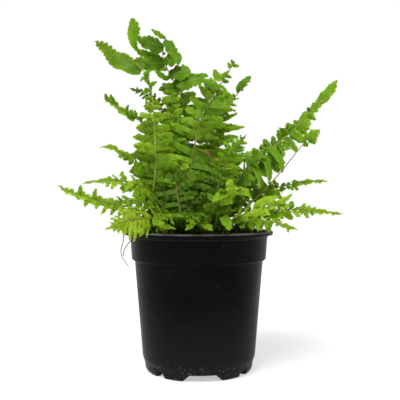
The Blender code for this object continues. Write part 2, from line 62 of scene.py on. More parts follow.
# pot; a notch between two feet has its half widths at its top and at its foot, in degrees
LIP_RADIUS = 82.5
POT_HEIGHT = 153.0
COLLAR_FOOT = 121.3
COLLAR_TOP = 146.0
COLLAR_RADIUS = 74.5
COLLAR_GROWTH = 1.7
BODY_FOOT = 15.0
BODY_RADIUS = 62.4
BODY_GROWTH = 8.9
WALL = 1.4
FLOOR_BOTTOM = 7.2
FLOOR_TOP = 8.8
FOOT_HEIGHT = 6.6
FRONT_NOTCH = -85.5
WIDE_NOTCH = (13.5, 21.5)
SMALL_NOTCH = (3.2, 6.5)
NOTCHES = {0.0: WIDE_NOTCH, 49.0: SMALL_NOTCH, 131.0: SMALL_NOTCH,
           180.0: WIDE_NOTCH, 229.0: SMALL_NOTCH, 311.0: SMALL_NOTCH}
DRAIN_RADIUS = 4.5
DRAIN_RING = 40.0
DRAIN_SIDES = 24
CUT_PAST = 2
POT_STEP = 1.5
CORNER_CLEAR = 0.6
POT_SHARP = 28.0

# soil and crown; grains and lumps are half-round, with radii between their two sizes
SOIL_FLAT = 137.0
SOIL_EDGE = 73.2
SOIL_FOOT = 9.1
SOIL_SIDES = 220
SOIL_RINGS = 70
GRAINS = 1400
GRAIN_REACH = 73.0
GRAIN_SIZES = (1.0, 2.8)
CRUMBS = 420
SPECKS = 110
CROWN_RADIUS = 35.0
CROWN_HEIGHT = 11.5
CROWN_FOOT = 138.8
CROWN_SINK = 1.2
CROWN_SIDES = 150
CROWN_RINGS = 34
LUMPS = 260
LUMP_SIZES = (1.2, 3.2)
SCALES = 700
SCALES_REACH = 34.0
STUBS = 34
STUBS_REACH = 32.0
STUB_SIDES = 6

# fern; POINTED and ROUNDED are where rows of points lie within each tooth of a leaf's edge, and
# inner leaves get painted shade: they grow darker from SHADE_TOP down to SHADE_FOOT, by SHADE_DEPTH of
# their tone in all
STIPE_DEPTH = 140.6
WALL_CLEAR = 72.0
LIP_CLEAR = 84.5
LEAF_OVER_LIP = 154.6
LEAF_ON_SOIL = 143.5
TEETH = 6
POINTED = (0.0, 0.72)
ROUNDED = (0.0, 0.22, 0.5, 0.78)
BROAD_TOOTH = 4.4
TIP_LOBE = 6.0
LEAFLET_THICK = 0.34
SHADE_TOP = 225.0
SHADE_FOOT = 158.0
SHADE_DEPTH = 0.56
RACHIS_RADIUS = (1.30, 0.50)
RACHIS_SIDES = 7
RACHIS_STEP = 3.0
YOUNG_FRONDS = 18
BROAD_APART = 0.022
TIP_OVERLAP = 0.14
LEAFLET_ROOT = 0.4
TUBE_FACING = 37.0

# one seed for each draw; each frond's is the first one's and its place in the list
SOIL_SEED = 5
CRUMB_SEED = 6
CROWN_SEED = 7
YOUNG_SEED = 31
FIRST_FROND_SEED = 100

# where the tips of the side fronds turn: to the front and a little up
TO_FRONT = (0.0, -1.4, 0.5)

# facing is the bearing that a frond grows to, 0 to the right and 90 to the back, and its leaflets
# spread square to it, turned by roll; half_width is its longest leaflet, bare the leafless share of
# its stem, and tone runs from dark to light; hang bends the leaflets down, lift raises them from the
# frond's plane, upper shortens those that point up, wide and taper give their width, and stir is how
# uneven they are; rib is how brown the stem is; tip is where the ribbon at its end begins, as a share
# of the blade, and its width, ends is where it ends, close how much it narrows, and face turns it;
# sizes gives the leaflets' length, as a share of the usual one, at shares of the blade
Frond = namedtuple("Frond", "name facing roll half_width bare foot route tone yellow hang spacing wide "
                            "lift taper upper stir close rib ends tip face sizes",
                   defaults=(0.50, 0.05, 0.0, 7.2, 1.0, 8.0, 0.08, 1.0, 1.0, 0.45, 0.50, 1.0,
                             (0.80, 7.0), (0.0, 0.0, 0.0), {0: 1, 1: 1}))

FRONDS = (
    Frond("centre_front", 90, 0, 29, 0.14, (-10, -13),
          ((-11, -10, 165), (-10, -6, 216), (1, 2, 273), (16, 8, 304), (41, 14, 345)), tone=0.44,
          yellow=0.08, spacing=7.8, wide=1.22, stir=0.85, rib=0.45, tip=(0.97, 3),
          sizes={0: 0.8, 0.3: 0.95, 0.62: 1, 0.78: 1, 0.86: 0.5, 0.94: 0.55, 1: 1.3}),
    Frond("centre_left", 112, 0, 23, 0.18, (-19, -10), ((-37, -10, 164), (-50, -12, 185), (-47, -14, 229),
           (-50, -10, 280), (-56, -4, 322), (-76, -4, 345)), tone=0.46, yellow=0.12, spacing=8, wide=1.15,
          stir=0.9, rib=0, tip=(0.9, 4),
          sizes={0: 0.9, 0.45: 1, 0.6: 0.62, 0.72: 0.42, 0.8: 0.25, 1: 0.15}),
    Frond("centre_top", 110, -10, 22, 0.3, (-7, 8),
          ((-10, 12, 165), (-14, 16, 244), (-20, 16, 302), (-33, 14, 330), (-41, 12, 350), (-38, 10, 373)),
          tone=0.43, spacing=8, wide=1.1, stir=0.8, tip=(0.98, 3),
          sizes={0: 1, 0.6: 1.1, 0.7: 0.8, 0.9: 0.3, 1: 0.3}),
    Frond("upper_right", 60, 0, 20, 0.18, (5, 4),
          ((10, 8, 165), (17, 14, 221), (22, 20, 271), (37, 26, 300), (61, 30, 330)), tone=0.56, hang=0.18,
          spacing=7.6, wide=0.85, taper=0.25, tip=(0.97, 3),
          sizes={0: 1, 0.4: 1.2, 0.55: 1.35, 0.68: 0.8, 0.86: 0.5, 1: 0.5}),
    Frond("right_tall", 0, -48, 21, 0.28, (17, 2),
          ((33, 4, 165), (50, 6, 204), (70, 8, 234), (110, 10, 269), (157, 12, 321)), tone=0.48, hang=0.45,
          spacing=6.2, wide=1.25, lift=14, upper=0.75, close=0.1, rib=0.1, ends=0.86, face=TO_FRONT,
          tip=(0.58, 13), sizes={0: 0.9, 0.3: 1.05, 0.5: 0.95, 0.66: 0.6, 0.78: 0.62, 0.84: 0.2, 1: 0.1}),
    Frond("right_sparse", -10, -40, 9, 0.86, (22, -6),
          ((36, -6, 163), (65, -14, 191), (86, -20, 214), (115, -24, 250), (129, -26, 262)), tone=0.46,
          spacing=5.2, wide=1.4, close=0, face=TO_FRONT, tip=(0.36, 14)),
    Frond("right_level", 10, -35, 12, 0.38, (26, 5),
          ((42, 8, 165), (60, 11, 186), (83, 16, 199), (124, 24, 208), (150, 28, 209)), tone=0.56,
          yellow=0.1, spacing=6.6, wide=1.1, face=TO_FRONT, tip=(0.55, 9),
          sizes={0: 1.5, 0.16: 1.9, 0.32: 1.3, 0.45: 0.8, 0.62: 0.75, 0.74: 0.35, 1: 0.3}),
    Frond("right_low", -12, -40, 13, 0.28, (24, -13),
          ((34, -15, 162), (66, -22, 174), (106, -25, 177), (154, -27, 172)), tone=0.66, yellow=0.15,
          spacing=6.2, wide=1.1, face=TO_FRONT, tip=(0.58, 9), sizes={0: 1.4, 0.45: 1, 0.75: 0.55, 1: 0.3}),
    Frond("right_rim", -35, -20, 13, 0.32, (17, -20),
          ((25, -28, 158), (53, -48, 166), (78, -60, 164), (100, -66, 157)), tone=0.66, yellow=0.2,
          hang=0.15, spacing=6, taper=0.3, face=TO_FRONT),
    Frond("left_high", 165, 15, 16, 0.42, (-14, 7),
          ((-20, 12, 170), (-38, 16, 233), (-65, 20, 275), (-80, 22, 285), (-104, 24, 303)), tone=0.54,
          spacing=7, lift=46, close=0.15, face=TO_FRONT, tip=(0.66, 12)),
    Frond("left_mid", 183, 35, 14, 0.34, (-22, 2),
          ((-27, 4, 165), (-46, 0, 207), (-72, -4, 230), (-97, -6, 246), (-109, -8, 245)), tone=0.62,
          spacing=6.8, wide=1.1, hang=0.2, face=TO_FRONT, tip=(0.58, 11), sizes={0: 1.25, 0.5: 1, 1: 0.6}),
    Frond("left_lower", 198, 30, 15, 0.26, (-21, -15),
          ((-30, -16, 165), (-53, -22, 196), (-75, -27, 206), (-101, -32, 208), (-122, -34, 205)),
          tone=0.67, yellow=0.12, spacing=6.8, wide=1.3, hang=0.3, face=TO_FRONT, tip=(0.66, 8),
          sizes={0: 1.15, 0.55: 1.1, 0.68: 0.85, 0.8: 0.35, 1: 0.25}),
    Frond("left_far", 180, 40, 17, 0.22, (-26, -4), ((-36, -5, 162), (-56, -2, 172), (-78, 0, 179),
           (-106, -1, 185), (-140, -2, 195), (-157, -2, 203)), tone=0.7, yellow=0.1, hang=0.45, spacing=8.6,
          wide=0.95, taper=0.5, upper=0.55, stir=0.7, face=TO_FRONT, tip=(0.4, 15.5),
          sizes={0: 1, 0.55: 0.9, 0.85: 0.6, 1: 0.5}),
    Frond("left_rim", 215, 50, 23, 0.22, (-15, -22),
          ((-24, -34, 160), (-46, -56, 168), (-68, -72, 167), (-92, -80, 158)), tone=0.72, yellow=0.5,
          hang=0.3, spacing=4.7, wide=1.3, taper=0.38, stir=0.35, face=TO_FRONT, tip=(0.76, 9),
          sizes={0: 0.8, 0.38: 0.7, 0.48: 0.9, 0.62: 1.12, 0.75: 0.8, 1: 0.5}),
    Frond("left_sprig", 150, 30, 10, 0.66, (-11, 16),
          ((-14, 21, 170), (-30, 27, 250), (-44, 31, 295), (-60, 31, 311), (-81, 32, 318)), tone=0.4,
          spacing=5.6, taper=0.4, face=TO_FRONT, tip=(0.8, 6)),
    Frond("centre_mid", 80, 10, 19, 0.12, (-8, -19),
          ((-18, -19, 165), (-24, -10, 195), (-27, 0, 225), (-28, 6, 262), (-30, 10, 310)), tone=0.48,
          spacing=7.2, wide=1.2, stir=0.9, rib=0.6, tip=(0.92, 9), sizes={0: 0.9, 0.8: 1.1, 1: 1.2}),
    Frond("front_left", 245, 0, 14, 0.14, (-9, -26),
          ((-15, -40, 160), (-24, -58, 170), (-34, -78, 172), (-43, -97, 162)), tone=0.5, yellow=0.15,
          spacing=6.4),
    Frond("front_right", 295, 0, 17, 0.14, (8, -25),
          ((14, -38, 166), (20, -51, 184), (29, -67, 196), (41, -85, 199)), tone=0.78, yellow=0.08,
          spacing=6.6, lift=12, stir=1.3, tip=(0.9, 5)),
    Frond("front", 268, 0, 13, 0.16, (-1, -28),
          ((-1, -42, 160), (-3, -60, 171), (-5, -80, 173), (-7, -103, 164)), tone=0.24, spacing=6.4),
    Frond("centre_right", 60, -20, 18, 0.14, (12, -9),
          ((17, -13, 170), (22, -18, 205), (34, -24, 235), (50, -30, 256)), tone=0.44, spacing=6, wide=1.1),
    Frond("right_mid", -5, -35, 17, 0.2, (14, -3),
          ((28, -2, 172), (42, -2, 205), (60, -4, 232), (80, -6, 248)), tone=0.38, spacing=6, wide=1.1),
    Frond("right_light", -20, -35, 14, 0.3, (16, -14),
          ((32, -23, 163), (52, -30, 173), (76, -36, 180), (97, -43, 182)), tone=1, yellow=0.26, rib=0.25,
          spacing=6.2, wide=1.1, taper=0.2, tip=(0.85, 6)),
    Frond("left_light", 208, 25, 14, 0.28, (-19, -19),
          ((-32, -28, 163), (-52, -40, 181), (-72, -49, 187), (-92, -58, 182)), tone=0.48, spacing=6.2),
    Frond("young_left", 215, 0, 10, 0.16, (-14, -27), ((-19, -34, 160), (-29, -44, 172), (-41, -54, 176)),
          tone=0.35, spacing=5.8),
    Frond("young_right", 320, 0, 10, 0.16, (11, -30), ((17, -37, 160), (27, -48, 173), (38, -60, 178)),
          tone=0.4, spacing=5.8),
    Frond("young_front", 275, 0, 10, 0.16, (2, -22), ((3, -30, 170), (5, -38, 186), (9, -50, 194)),
          tone=0.45, yellow=0.1, spacing=5.8),
    Frond("back_left", 115, 0, 16, 0.24, (-12, 20),
          ((-20, 32, 175), (-34, 52, 222), (-50, 76, 248), (-66, 100, 252)), tone=0.44, wide=1.1),
    Frond("back", 88, 0, 17, 0.22, (0, 22), ((2, 36, 180), (4, 56, 235), (5, 79, 262), (5, 100, 264)),
          tone=0.46, wide=1.1),
    Frond("back_right", 62, 0, 16, 0.24, (13, 19),
          ((22, 32, 175), (38, 54, 222), (54, 76, 243), (70, 99, 246)), tone=0.42, wide=1.1),
    Frond("back_tall", 110, 0, 17, 0.24, (-5, 15), ((-11, 23, 190), (-24, 40, 258), (-40, 62, 306)),
          tone=0.44, wide=1.1),
    Frond("back_upright", 70, 0, 16, 0.24, (5, 13), ((9, 22, 190), (19, 44, 252), (30, 66, 290)), tone=0.42,
          wide=1.1),
    Frond("back_low_left", 135, 0, 14, 0.26, (-19, 19),
          ((-32, 32, 168), (-54, 52, 186), (-74, 74, 190), (-94, 96, 180)), tone=0.56, spacing=6.2),
    Frond("back_low", 98, 0, 14, 0.26, (-4, 28),
          ((-6, 44, 168), (-9, 63, 186), (-12, 83, 190), (-16, 102, 181)), tone=0.56, spacing=6.2),
    Frond("back_low_right", 45, 0, 14, 0.26, (19, 20),
          ((34, 34, 170), (54, 54, 190), (74, 76, 194), (94, 98, 184)), tone=0.56, spacing=6.2),
    Frond("side_left", 145, 15, 14, 0.3, (-22, 10),
          ((-32, 18, 168), (-50, 34, 198), (-66, 48, 216), (-82, 62, 222)), tone=0.48, spacing=6.2),
    Frond("side_right", 35, -15, 14, 0.3, (22, 11),
          ((34, 20, 168), (50, 34, 196), (66, 50, 214), (84, 64, 221)), tone=0.48, spacing=6.2),
)

# share is where on its frond's blade a large leaf is rooted, and facing the side that it shows; it
# widens from neck to belly, shares of its length, and a higher blunt gives it a rounder end
Broad = namedtuple("Broad", "share route width facing tone belly taper blunt brown yellow neck",
                   defaults=(0.46, 0.30, 0.10, 3.6, 0.0, 0.05, -0.10))

BROAD_LEAVES = {
    "centre_left": (
        Broad(0.9, ((-80, 3, 340), (-94, 8, 348), (-106, 8, 359), (-117, 4, 366)), 24, (0.1, -1, 0.2), 0.44,
              0.42, 0.15, 3, 0.08, 0.05, -0.3),
        Broad(0.78, ((-61, -5, 323), (-65, -6, 318)), 5, (0.1, -1, 0.2), 0.5, 0.5),
        Broad(0.74, ((-58, -6, 310), (-61, -6, 303)), 5, (0.1, -1, 0.2), 0.46, 0.5),
        Broad(0.83, ((-59, -7, 327), (-52, -8, 331)), 6, (0.1, -1, 0.2), 0.56, 0.5),
        Broad(0.76, ((-53, -8, 314), (-46, -9, 318)), 6, (0.1, -1, 0.2), 0.52, 0.5),
    ),
    "centre_top": (
        Broad(0.985, ((-47, 8, 376), (-54, 6, 380)), 8, (0.3, -1, 0.2), 0.58, 0.4, 0.2),
        Broad(0.975, ((-32, 7, 360), (-27, 4, 347)), 14, (0.3, -1, 0.2), 0.46, 0.3, 0, 6),
        Broad(0.93, ((-51, 2, 362), (-70, 0, 369)), 21, (0, -1, 0.15), 0.28, 0.3, 0.2, 3.6),
        Broad(0.835, ((-52, 10, 351), (-64, 9, 354), (-71, 8, 358)), 10, (0.1, -1, 0.2), 0.46, 0.3, 0, 6),
        Broad(0.835,
              ((-52, 11, 350), (-66, 9, 354), (-73, 7, 362), (-74, 6, 373), (-73, 5, 383), (-76, 4, 392)),
              15, (0.1, -1, 0.1), 0.54, 0.84, -0.2, 7, 0, 0.05, 0.4),
        Broad(0.84, ((-30, 5, 347), (-19, 2, 345)), 20, (0.2, -1, 0.3), 0.42, 0.3, 0, 8),
        Broad(0.815, ((-55, 5, 341), (-73, 3, 344)), 17, (0, -1, 0.1), 0.38, 0.2, 0, 5),
        Broad(0.75, ((-22, 4, 331), (-9, 1, 331)), 19, (0.1, -1, 0.2), 0.42, 0.28, 0, 8),
        Broad(0.68, ((-16, 4, 321), (-2, 0, 322), (7, -2, 323)), 21, (0.1, -1, 0.3), 0.4, 0.45, 0, 5),
        Broad(0.72, ((-38, 10, 326), (-46, 6, 331), (-50, 5, 335)), 8, (0.1, -1, 0.2), 0.54, 0.4, 0.1),
        Broad(0.665, ((-34, 10, 317), (-42, 6, 318)), 8, (0.1, -1, 0.2), 0.5, 0.4, 0.1),
        Broad(0.7, ((-12, 4, 327), (2, 1, 328), (11, 0, 325.5)), 6.4, (0.1, -1, 0.3), 0.44, 0.92, -0.2, 9,
              0, 0.05, 0.66),
    ),
    "centre_front": (
        Broad(0.83,
              ((19, 6, 313), (25, 5, 315), (29.5, 4, 311), (29.5, 4, 306), (25, 3, 303), (22, 3, 304.5)),
              5.4, (0.25, -1, 0.2), 0.52, 0.2, 0.1),
        Broad(0.405, ((10, -10, 239), (16, -12, 231), (19, -11, 222)), 4, (0.3, -0.9, 0.4), 0.34, 0.3, 0.2,
              3.6, 1),
        Broad(0.93, ((24, 12, 326), (19, 10, 331), (17, 8, 335)), 9, (0.1, -1, 0.1), 0.62, 0.7, -0.2, 5),
    ),
    "left_far": (
        Broad(0.7, ((-125, -5, 185), (-126, -9, 179)), 6.5, (0, -1, 0.4), 0.7, 0.4, 0.1),
        Broad(0.6, ((-113, -5, 182), (-114, -9, 177)), 6.5, (0, -1, 0.4), 0.74, 0.4, 0.1),
        Broad(0.78, ((-132, -4, 198), (-131, -6, 204)), 6, (0, -1, 0.3), 0.66, 0.4, 0.1),
        Broad(0.65, ((-116, -4, 194), (-114, -6, 200)), 6, (0, -1, 0.3), 0.7, 0.4, 0.1),
    ),
    "left_rim": (
        Broad(0.385, ((-42, -69, 165), (-33, -76, 161), (-22, -80, 158.5)), 8, (-0.1, -0.8, 0.6), 0.66, 0.3,
              0.2, 3.6, 0, 0.25),
    ),
    "front": (
        Broad(0.3, ((-6, -63, 164), (-9, -71, 161), (-13, -77, 156.5)), 9, (-0.1, -0.9, 0.5), 0.6, 0.5,
              0.1),
        Broad(0.34, ((3, -66, 165), (8, -73, 162), (14, -77, 156.5)), 11, (0.1, -0.9, 0.5), 0.52, 0.5, 0.1),
    ),
    "young_right": (
        Broad(0.45, ((26, -58, 170), (29, -68, 163), (31, -74, 156.5)), 12, (0.1, -0.9, 0.4), 0.55, 0.6, 0,
              5),
    ),
    "right_light": (
        Broad(0.56, ((60, -40, 174), (51, -42, 169), (41, -42, 162)), 12, (-0.1, -1, 0.4), 0.95, 0.45, 0.3,
              3.6, 0, 0.26),
        Broad(0.42, ((64, -34, 183), (74, -36, 188), (85, -37, 191)), 10, (0, -1, 0.4), 0.88, 0.4, 0.2, 3.6,
              0, 0.22),
        Broad(0.76, ((85, -42, 185), (93, -43, 189), (98, -44, 194)), 7, (0, -1, 0.4), 0.8, 0.4, 0.2, 3.6,
              0, 0.22),
    ),
    "right_low": (
        Broad(0.478, ((99, -29, 180), (99.5, -31, 186)), 7.5, (0, -1, 0.2), 0.56, 0.5, 0, 5),
    ),
    "right_rim": (
        Broad(0.12, ((36, -44, 165), (43, -53, 168), (52, -58, 166)), 11, (0.1, -0.9, 0.6), 0.6, 0.4, 0.1),
        Broad(0.4, ((54, -54, 162), (56, -58, 156.5)), 10, (0.1, -0.9, 0.4), 0.52, 0.5, 0.1),
        Broad(0.52, ((62, -56, 161), (64, -60, 155.5)), 10, (0.1, -0.9, 0.4), 0.6, 0.5, 0.1),
        Broad(0.64, ((71, -59, 160), (73, -61, 154.5)), 9, (0.1, -0.9, 0.4), 0.6, 0.5, 0.1),
    ),
    "young_front": (
        Broad(0.3, ((8, -31, 174), (15, -33, 174), (23, -35, 171)), 10, (0.1, -0.8, 0.8), 0.66, 0.3, 0.2),
    ),
    "upper_right": (
        Broad(0.86, ((46, 26, 316), (53, 24, 324), (60, 23, 331)), 10, (0.2, -1, 0.2), 0.5, 0.4, 0.15),
    ),
    "right_tall": (
        Broad(0.81, ((143, 11, 305), (150, 11, 313), (157, 11, 324)), 15, (-0.2, -1, 0.3), 0.62, 0.45, 0.25,
              4, 0, 0.1, -0.4),
    ),
    "right_mid": (
        Broad(0.72, ((63, -10, 222), (66, -16, 211), (66, -22, 199)), 9, (0.2, -1, 0.1), 0.5, 0.3, 0.3, 4),
        Broad(0.86, ((74, -11, 231), (77, -17, 218), (76, -22, 203)), 10, (0.2, -1, 0.1), 0.44, 0.3, 0.3,
              4),
        Broad(0.97, ((84, -10, 240), (90, -15, 229), (91, -20, 216)), 10, (0.2, -1, 0.1), 0.52, 0.3, 0.3,
              4),
    ),
    "front_right": (
        Broad(0.58, ((26, -66, 193), (20, -71, 191), (14, -73, 185)), 11, (-0.1, -0.9, 0.5), 0.72, 0.5,
              0.1),
        Broad(0.74, ((31, -70, 195), (31.5, -71, 201), (31, -70, 208)), 9, (0, -1, 0.2), 0.74, 0.6, -0.1,
              6),
        Broad(0.88, ((42, -80, 197), (48, -78, 194), (53, -76, 189)), 9, (0.2, -0.9, 0.5), 0.74, 0.4, 0.2),
    ),
    "left_high": (
        Broad(0.9, ((-100, 22, 303), (-102, 20, 309)), 7, (0.2, -1, 0.3), 0.52, 0.5),
        Broad(0.95, ((-106, 22, 304), (-108, 20, 310)), 7, (0.2, -1, 0.3), 0.56, 0.5),
    ),
}

# a runner's tone runs from green to brown
Runner = namedtuple("Runner", "name foot route tone")

RUNNERS = (
    Runner("light", (-64, -23), ((-64.6, -23.4, 148), (-71, -28, 155.6), (-76.5, -33, 156),
            (-79.5, -37, 150), (-80, -39, 142), (-82, -40, 135), (-80.5, -41, 127), (-73.5, -43, 117)), 0),
    Runner("dark", (-54, -42), ((-54.6, -42.4, 148), (-60, -49, 155.6), (-63.5, -54, 156.2),
            (-67, -57, 149), (-72.5, -57, 142), (-76.5, -55, 136), (-78, -52.5, 129)), 1),
)
RUNNER_FOOT = 138.0
RUNNER_RADIUS = 0.72
RUNNER_SIDES = 6
RUNNER_STEP = 1.5


def add_object(name, data):
    """A new object of the scene, at the origin."""
    obj = bpy.data.objects.new(name, data)
    bpy.context.scene.collection.objects.link(obj)
    return obj


class Shape:
    """Points, faces and point values that grow piece by piece and become one mesh."""

    def __init__(self):
        self.points = []
        self.faces = []
        self.values = {}
        self.uvs = []
        self.count = 0

    def add(self, points, faces, uv=None, **values):
        """Adds points in millimetres, faces as (m, k) index arrays, and values per point."""
        points = points.reshape(-1, 3)
        n = len(points)
        self.points.append(points)
        self.faces += [f + self.count for f in faces]
        self.uvs.append(np.zeros((n, 2)) if uv is None else uv)
        for key in set(values) | set(self.values):
            held = self.values.setdefault(key, [np.zeros(self.count)])
            held.append(np.broadcast_to(np.asarray(values.get(key, 0.0), float), (n,)))
        self.count += n

    def mesh(self, name):
        """The bare mesh of the shape."""
        mesh = bpy.data.meshes.new(name)
        faces = list(chain.from_iterable(block.tolist() for block in self.faces))
        mesh.from_pydata((np.vstack(self.points) * MM).tolist(), [], faces)
        return mesh

    def make(self, name, material, sharp=50.0):
        """Makes the object, smooth but for edges sharper than the given angle."""
        mesh = self.mesh(name)
        corners = np.concatenate([block.ravel() for block in self.faces])
        uv = mesh.uv_layers.new(name="along_across")
        uv.data.foreach_set("uv", np.vstack(self.uvs)[corners].ravel())
        for key, held in sorted(self.values.items()):
            layer = mesh.attributes.new(key, "FLOAT", "POINT")
            layer.data.foreach_set("value", np.concatenate(held))
        mesh.shade_smooth()
        mesh.set_sharp_from_angle(angle=math.radians(sharp))
        mesh.materials.append(material)
        obj = add_object(name, mesh)
        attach(obj, "root")
        return obj


def full_turn(count):
    """Even angles round a full turn, in radians."""
    return np.linspace(0.0, math.tau, count, endpoint=False)


def polar(reach, angle):
    """The x and the y at a reach and an angle, in radians, about the pot's axis."""
    return reach * np.cos(angle), reach * np.sin(angle)


def grid_faces(rows, columns, closed=False):
    """Quads of a grid of rows x columns points, closed round its columns if asked."""
    last = columns if closed else columns - 1
    r, c = np.meshgrid(np.arange(rows - 1), np.arange(last), indexing="ij")
    here = r * columns + c
    after = r * columns + (c + 1) % columns
    return np.stack((here, here + columns, after + columns, after), -1).reshape(-1, 4)


def unit(v):
    """Vectors of length one."""
    return v / np.maximum(np.linalg.norm(v, axis=-1, keepdims=True), 1e-9)


def ramp(x, low, high):
    """Zero below low, one above high, and a smooth step between."""
    share = np.clip((x - low) / (high - low), 0.0, 1.0)
    return share * share * (3.0 - 2.0 * share)


def add_lathe(shape, radius, height, angles, **values):
    """A closed turned form: x = r cos a, y = r sin a, z = h, for arrays r and h of rows x angles.

    The rows run from the upper pole outwards and down to the lower pole, where r is zero. Either
    array may have one column only, where it is the same all round.
    """
    rows, columns = len(radius), len(angles)
    points = np.stack(np.broadcast_arrays(*polar(radius, angles), height), -1)
    ring = points[1:-1].reshape(-1, 3)
    here = np.arange(columns) + 1
    after = here % columns + 1
    last = (rows - 3) * columns
    first_fan = np.stack((np.zeros(columns, int), here, after), -1)
    last_fan = np.stack((np.full(columns, 1 + len(ring)), last + after, last + here), -1)
    shape.add(np.vstack((points[0, :1], ring, points[-1, :1])),
              [grid_faces(rows - 2, columns, closed=True) + 1, first_fan, last_fan], **values)


def rounded(corners, steps=4):
    """A profile through (radius, height, rounding) corners.

    A rounded corner is the parabola from a point that far before it to one that far after it.
    """
    places = np.array(corners)[:, :2]
    out = [places[:1]]
    t = np.linspace(0.0, 1.0, steps + 1)[:, None]
    for before, here, after, corner in zip(places, places[1:], places[2:], corners[1:]):
        start = here + unit(before - here) * corner[2]
        end = here + unit(after - here) * corner[2]
        arc = (1 - t) ** 2 * start + 2 * t * (1 - t) * here + t ** 2 * end
        out.append(arc if corner[2] else here[None])
    return np.vstack(out + [places[-1:]])


def smooth_route(route, step):
    """Even points about a step apart on a Catmull-Rom curve through the route."""
    knots = np.array(route, float)
    ends = np.vstack((2 * knots[0] - knots[1], knots, 2 * knots[-1] - knots[-2]))
    u = np.linspace(0.0, 1.0, 24, endpoint=False)[None, :, None]
    p0, p1, p2, p3 = (ends[i:len(knots) - 1 + i, None] for i in range(4))
    fine = 0.5 * (2 * p1 + (p2 - p0) * u + (2 * p0 - 5 * p1 + 4 * p2 - p3) * u ** 2
                  + (3 * p1 - 3 * p2 + p3 - p0) * u ** 3)
    fine = np.vstack((fine.reshape(-1, 3), knots[-1:]))
    along = np.concatenate(([0.0], np.cumsum(np.linalg.norm(np.diff(fine, axis=0), axis=1))))
    marks = np.linspace(0.0, along[-1], max(4, int(along[-1] / step)))
    return rows_at(along, fine, marks), marks


def rows_at(marks, values, where):
    """Rows of values, given at the marks, read at other places."""
    return np.column_stack([np.interp(where, marks, column) for column in values.T])


def blade_frames(path, facing, roll):
    """Tangent, side and upper normal along a path, with the side turned by roll about it."""
    tangent = unit(np.gradient(path, axis=0))
    turn, tilt = math.radians(facing), math.radians(roll)
    side = np.array((math.sin(turn), -math.cos(turn), 0.0)) * np.ones_like(path)
    side = unit(side - tangent * (side * tangent).sum(1)[:, None])
    upper = np.cross(side, tangent)
    return (tangent, side * math.cos(tilt) + upper * math.sin(tilt),
            upper * math.cos(tilt) - side * math.sin(tilt))


def repeated(values, count, points):
    """Named values, each one number or one for each of a count, repeated for all their points."""
    return {key: np.repeat(np.broadcast_to(v, (count,)), points) for key, v in values.items()}


def add_tube(shape, path, radius, sides, **values):
    """A round tube: point = path + radius * (cos a * side + sin a * upper), closed at both ends."""
    rings = len(path)
    tangent, side, upper = blade_frames(path, TUBE_FACING, 0.0)
    angle = full_turn(sides)
    ring = np.cos(angle)[None, :, None] * side[:, None] + np.sin(angle)[None, :, None] * upper[:, None]
    points = path[:, None] + ring * radius[:, None, None]
    start = np.arange(sides)[None]
    end = (rings - 1) * sides + start[:, ::-1]
    along = np.repeat(np.linspace(0.0, 1.0, rings), sides)
    uv = np.column_stack((along, np.tile(angle / math.tau, rings)))
    faces = [grid_faces(rings, sides, closed=True), start, end]
    shape.add(points, faces, uv, **repeated(values, rings, sides))


def leaf_faces(along, across, leaves):
    """Quads of many leaf shells, whose upper and lower sheets share their whole outline."""
    lower = np.arange(along * across).reshape(along, across)
    inner = (along - 2) * (across - 2)
    lower[1:-1, 1:-1] = along * across + np.arange(inner).reshape(along - 2, across - 2)
    quads = grid_faces(along, across)
    both = np.vstack((quads, lower.ravel()[quads][:, ::-1]))
    return (both + (np.arange(leaves) * (along * across + inner))[:, None, None]).reshape(-1, 4)


def clear_of_pot(points):
    """Leaf points (leaves, along, across, 3) kept off the pot.

    A leaf that is rooted inside the lip is lifted over it, and one rooted outside is pushed out.
    """
    x, y, z = np.moveaxis(points, -1, 0)
    reach = np.hypot(x, y)
    near = (reach > WALL_CLEAR) & (reach < LIP_CLEAR) & (z < LEAF_OVER_LIP)
    rooted_inside = (reach[:, :1, :1] < LIP_RADIUS) & (z[:, :1, :1] > SOIL_FLAT)
    z = np.where(near & rooted_inside, LEAF_OVER_LIP + 0.05 * (z - LEAF_OVER_LIP), z)
    grow = np.where(near & ~rooted_inside, LIP_CLEAR / np.maximum(reach, 1.0), 1.0)
    on_soil = (reach <= WALL_CLEAR) & (z < LEAF_ON_SOIL)
    z = np.where(on_soil, LEAF_ON_SOIL + 0.1 * (z - LEAF_ON_SOIL), z)
    return np.stack((x * grow, y * grow, z), -1)


def leaf_rows(teeth, steps):
    """Rows from root to tip, at the same steps within each tooth, and the very tip."""
    return np.sort(np.concatenate([(np.arange(teeth) + step) / teeth for step in steps] + [[1.0]]))


def leaf_outline(s, teeth, form):
    """Half width as a share of the widest, less a notch at each tooth that deepens towards the tip.

    It is (a rise from base, at the neck, to 1 at the belly) * (1 - taper s) * (1 - s^blunt)^0.55,
    and the notch goes with 1 - |sin(pi (teeth s + shift))|^0.6.
    """
    rise = form.base + (1.0 - form.base) * ramp(s, form.neck, form.belly)
    whole = rise * (1.0 - form.taper * s) * np.clip(1.0 - s ** form.blunt, 0.0, 1.0) ** 0.55
    notch = 1.0 - np.abs(np.sin(math.pi * (teeth * s + form.shift))) ** 0.6
    return whole, form.tooth * notch * (0.6 + 0.6 * s)


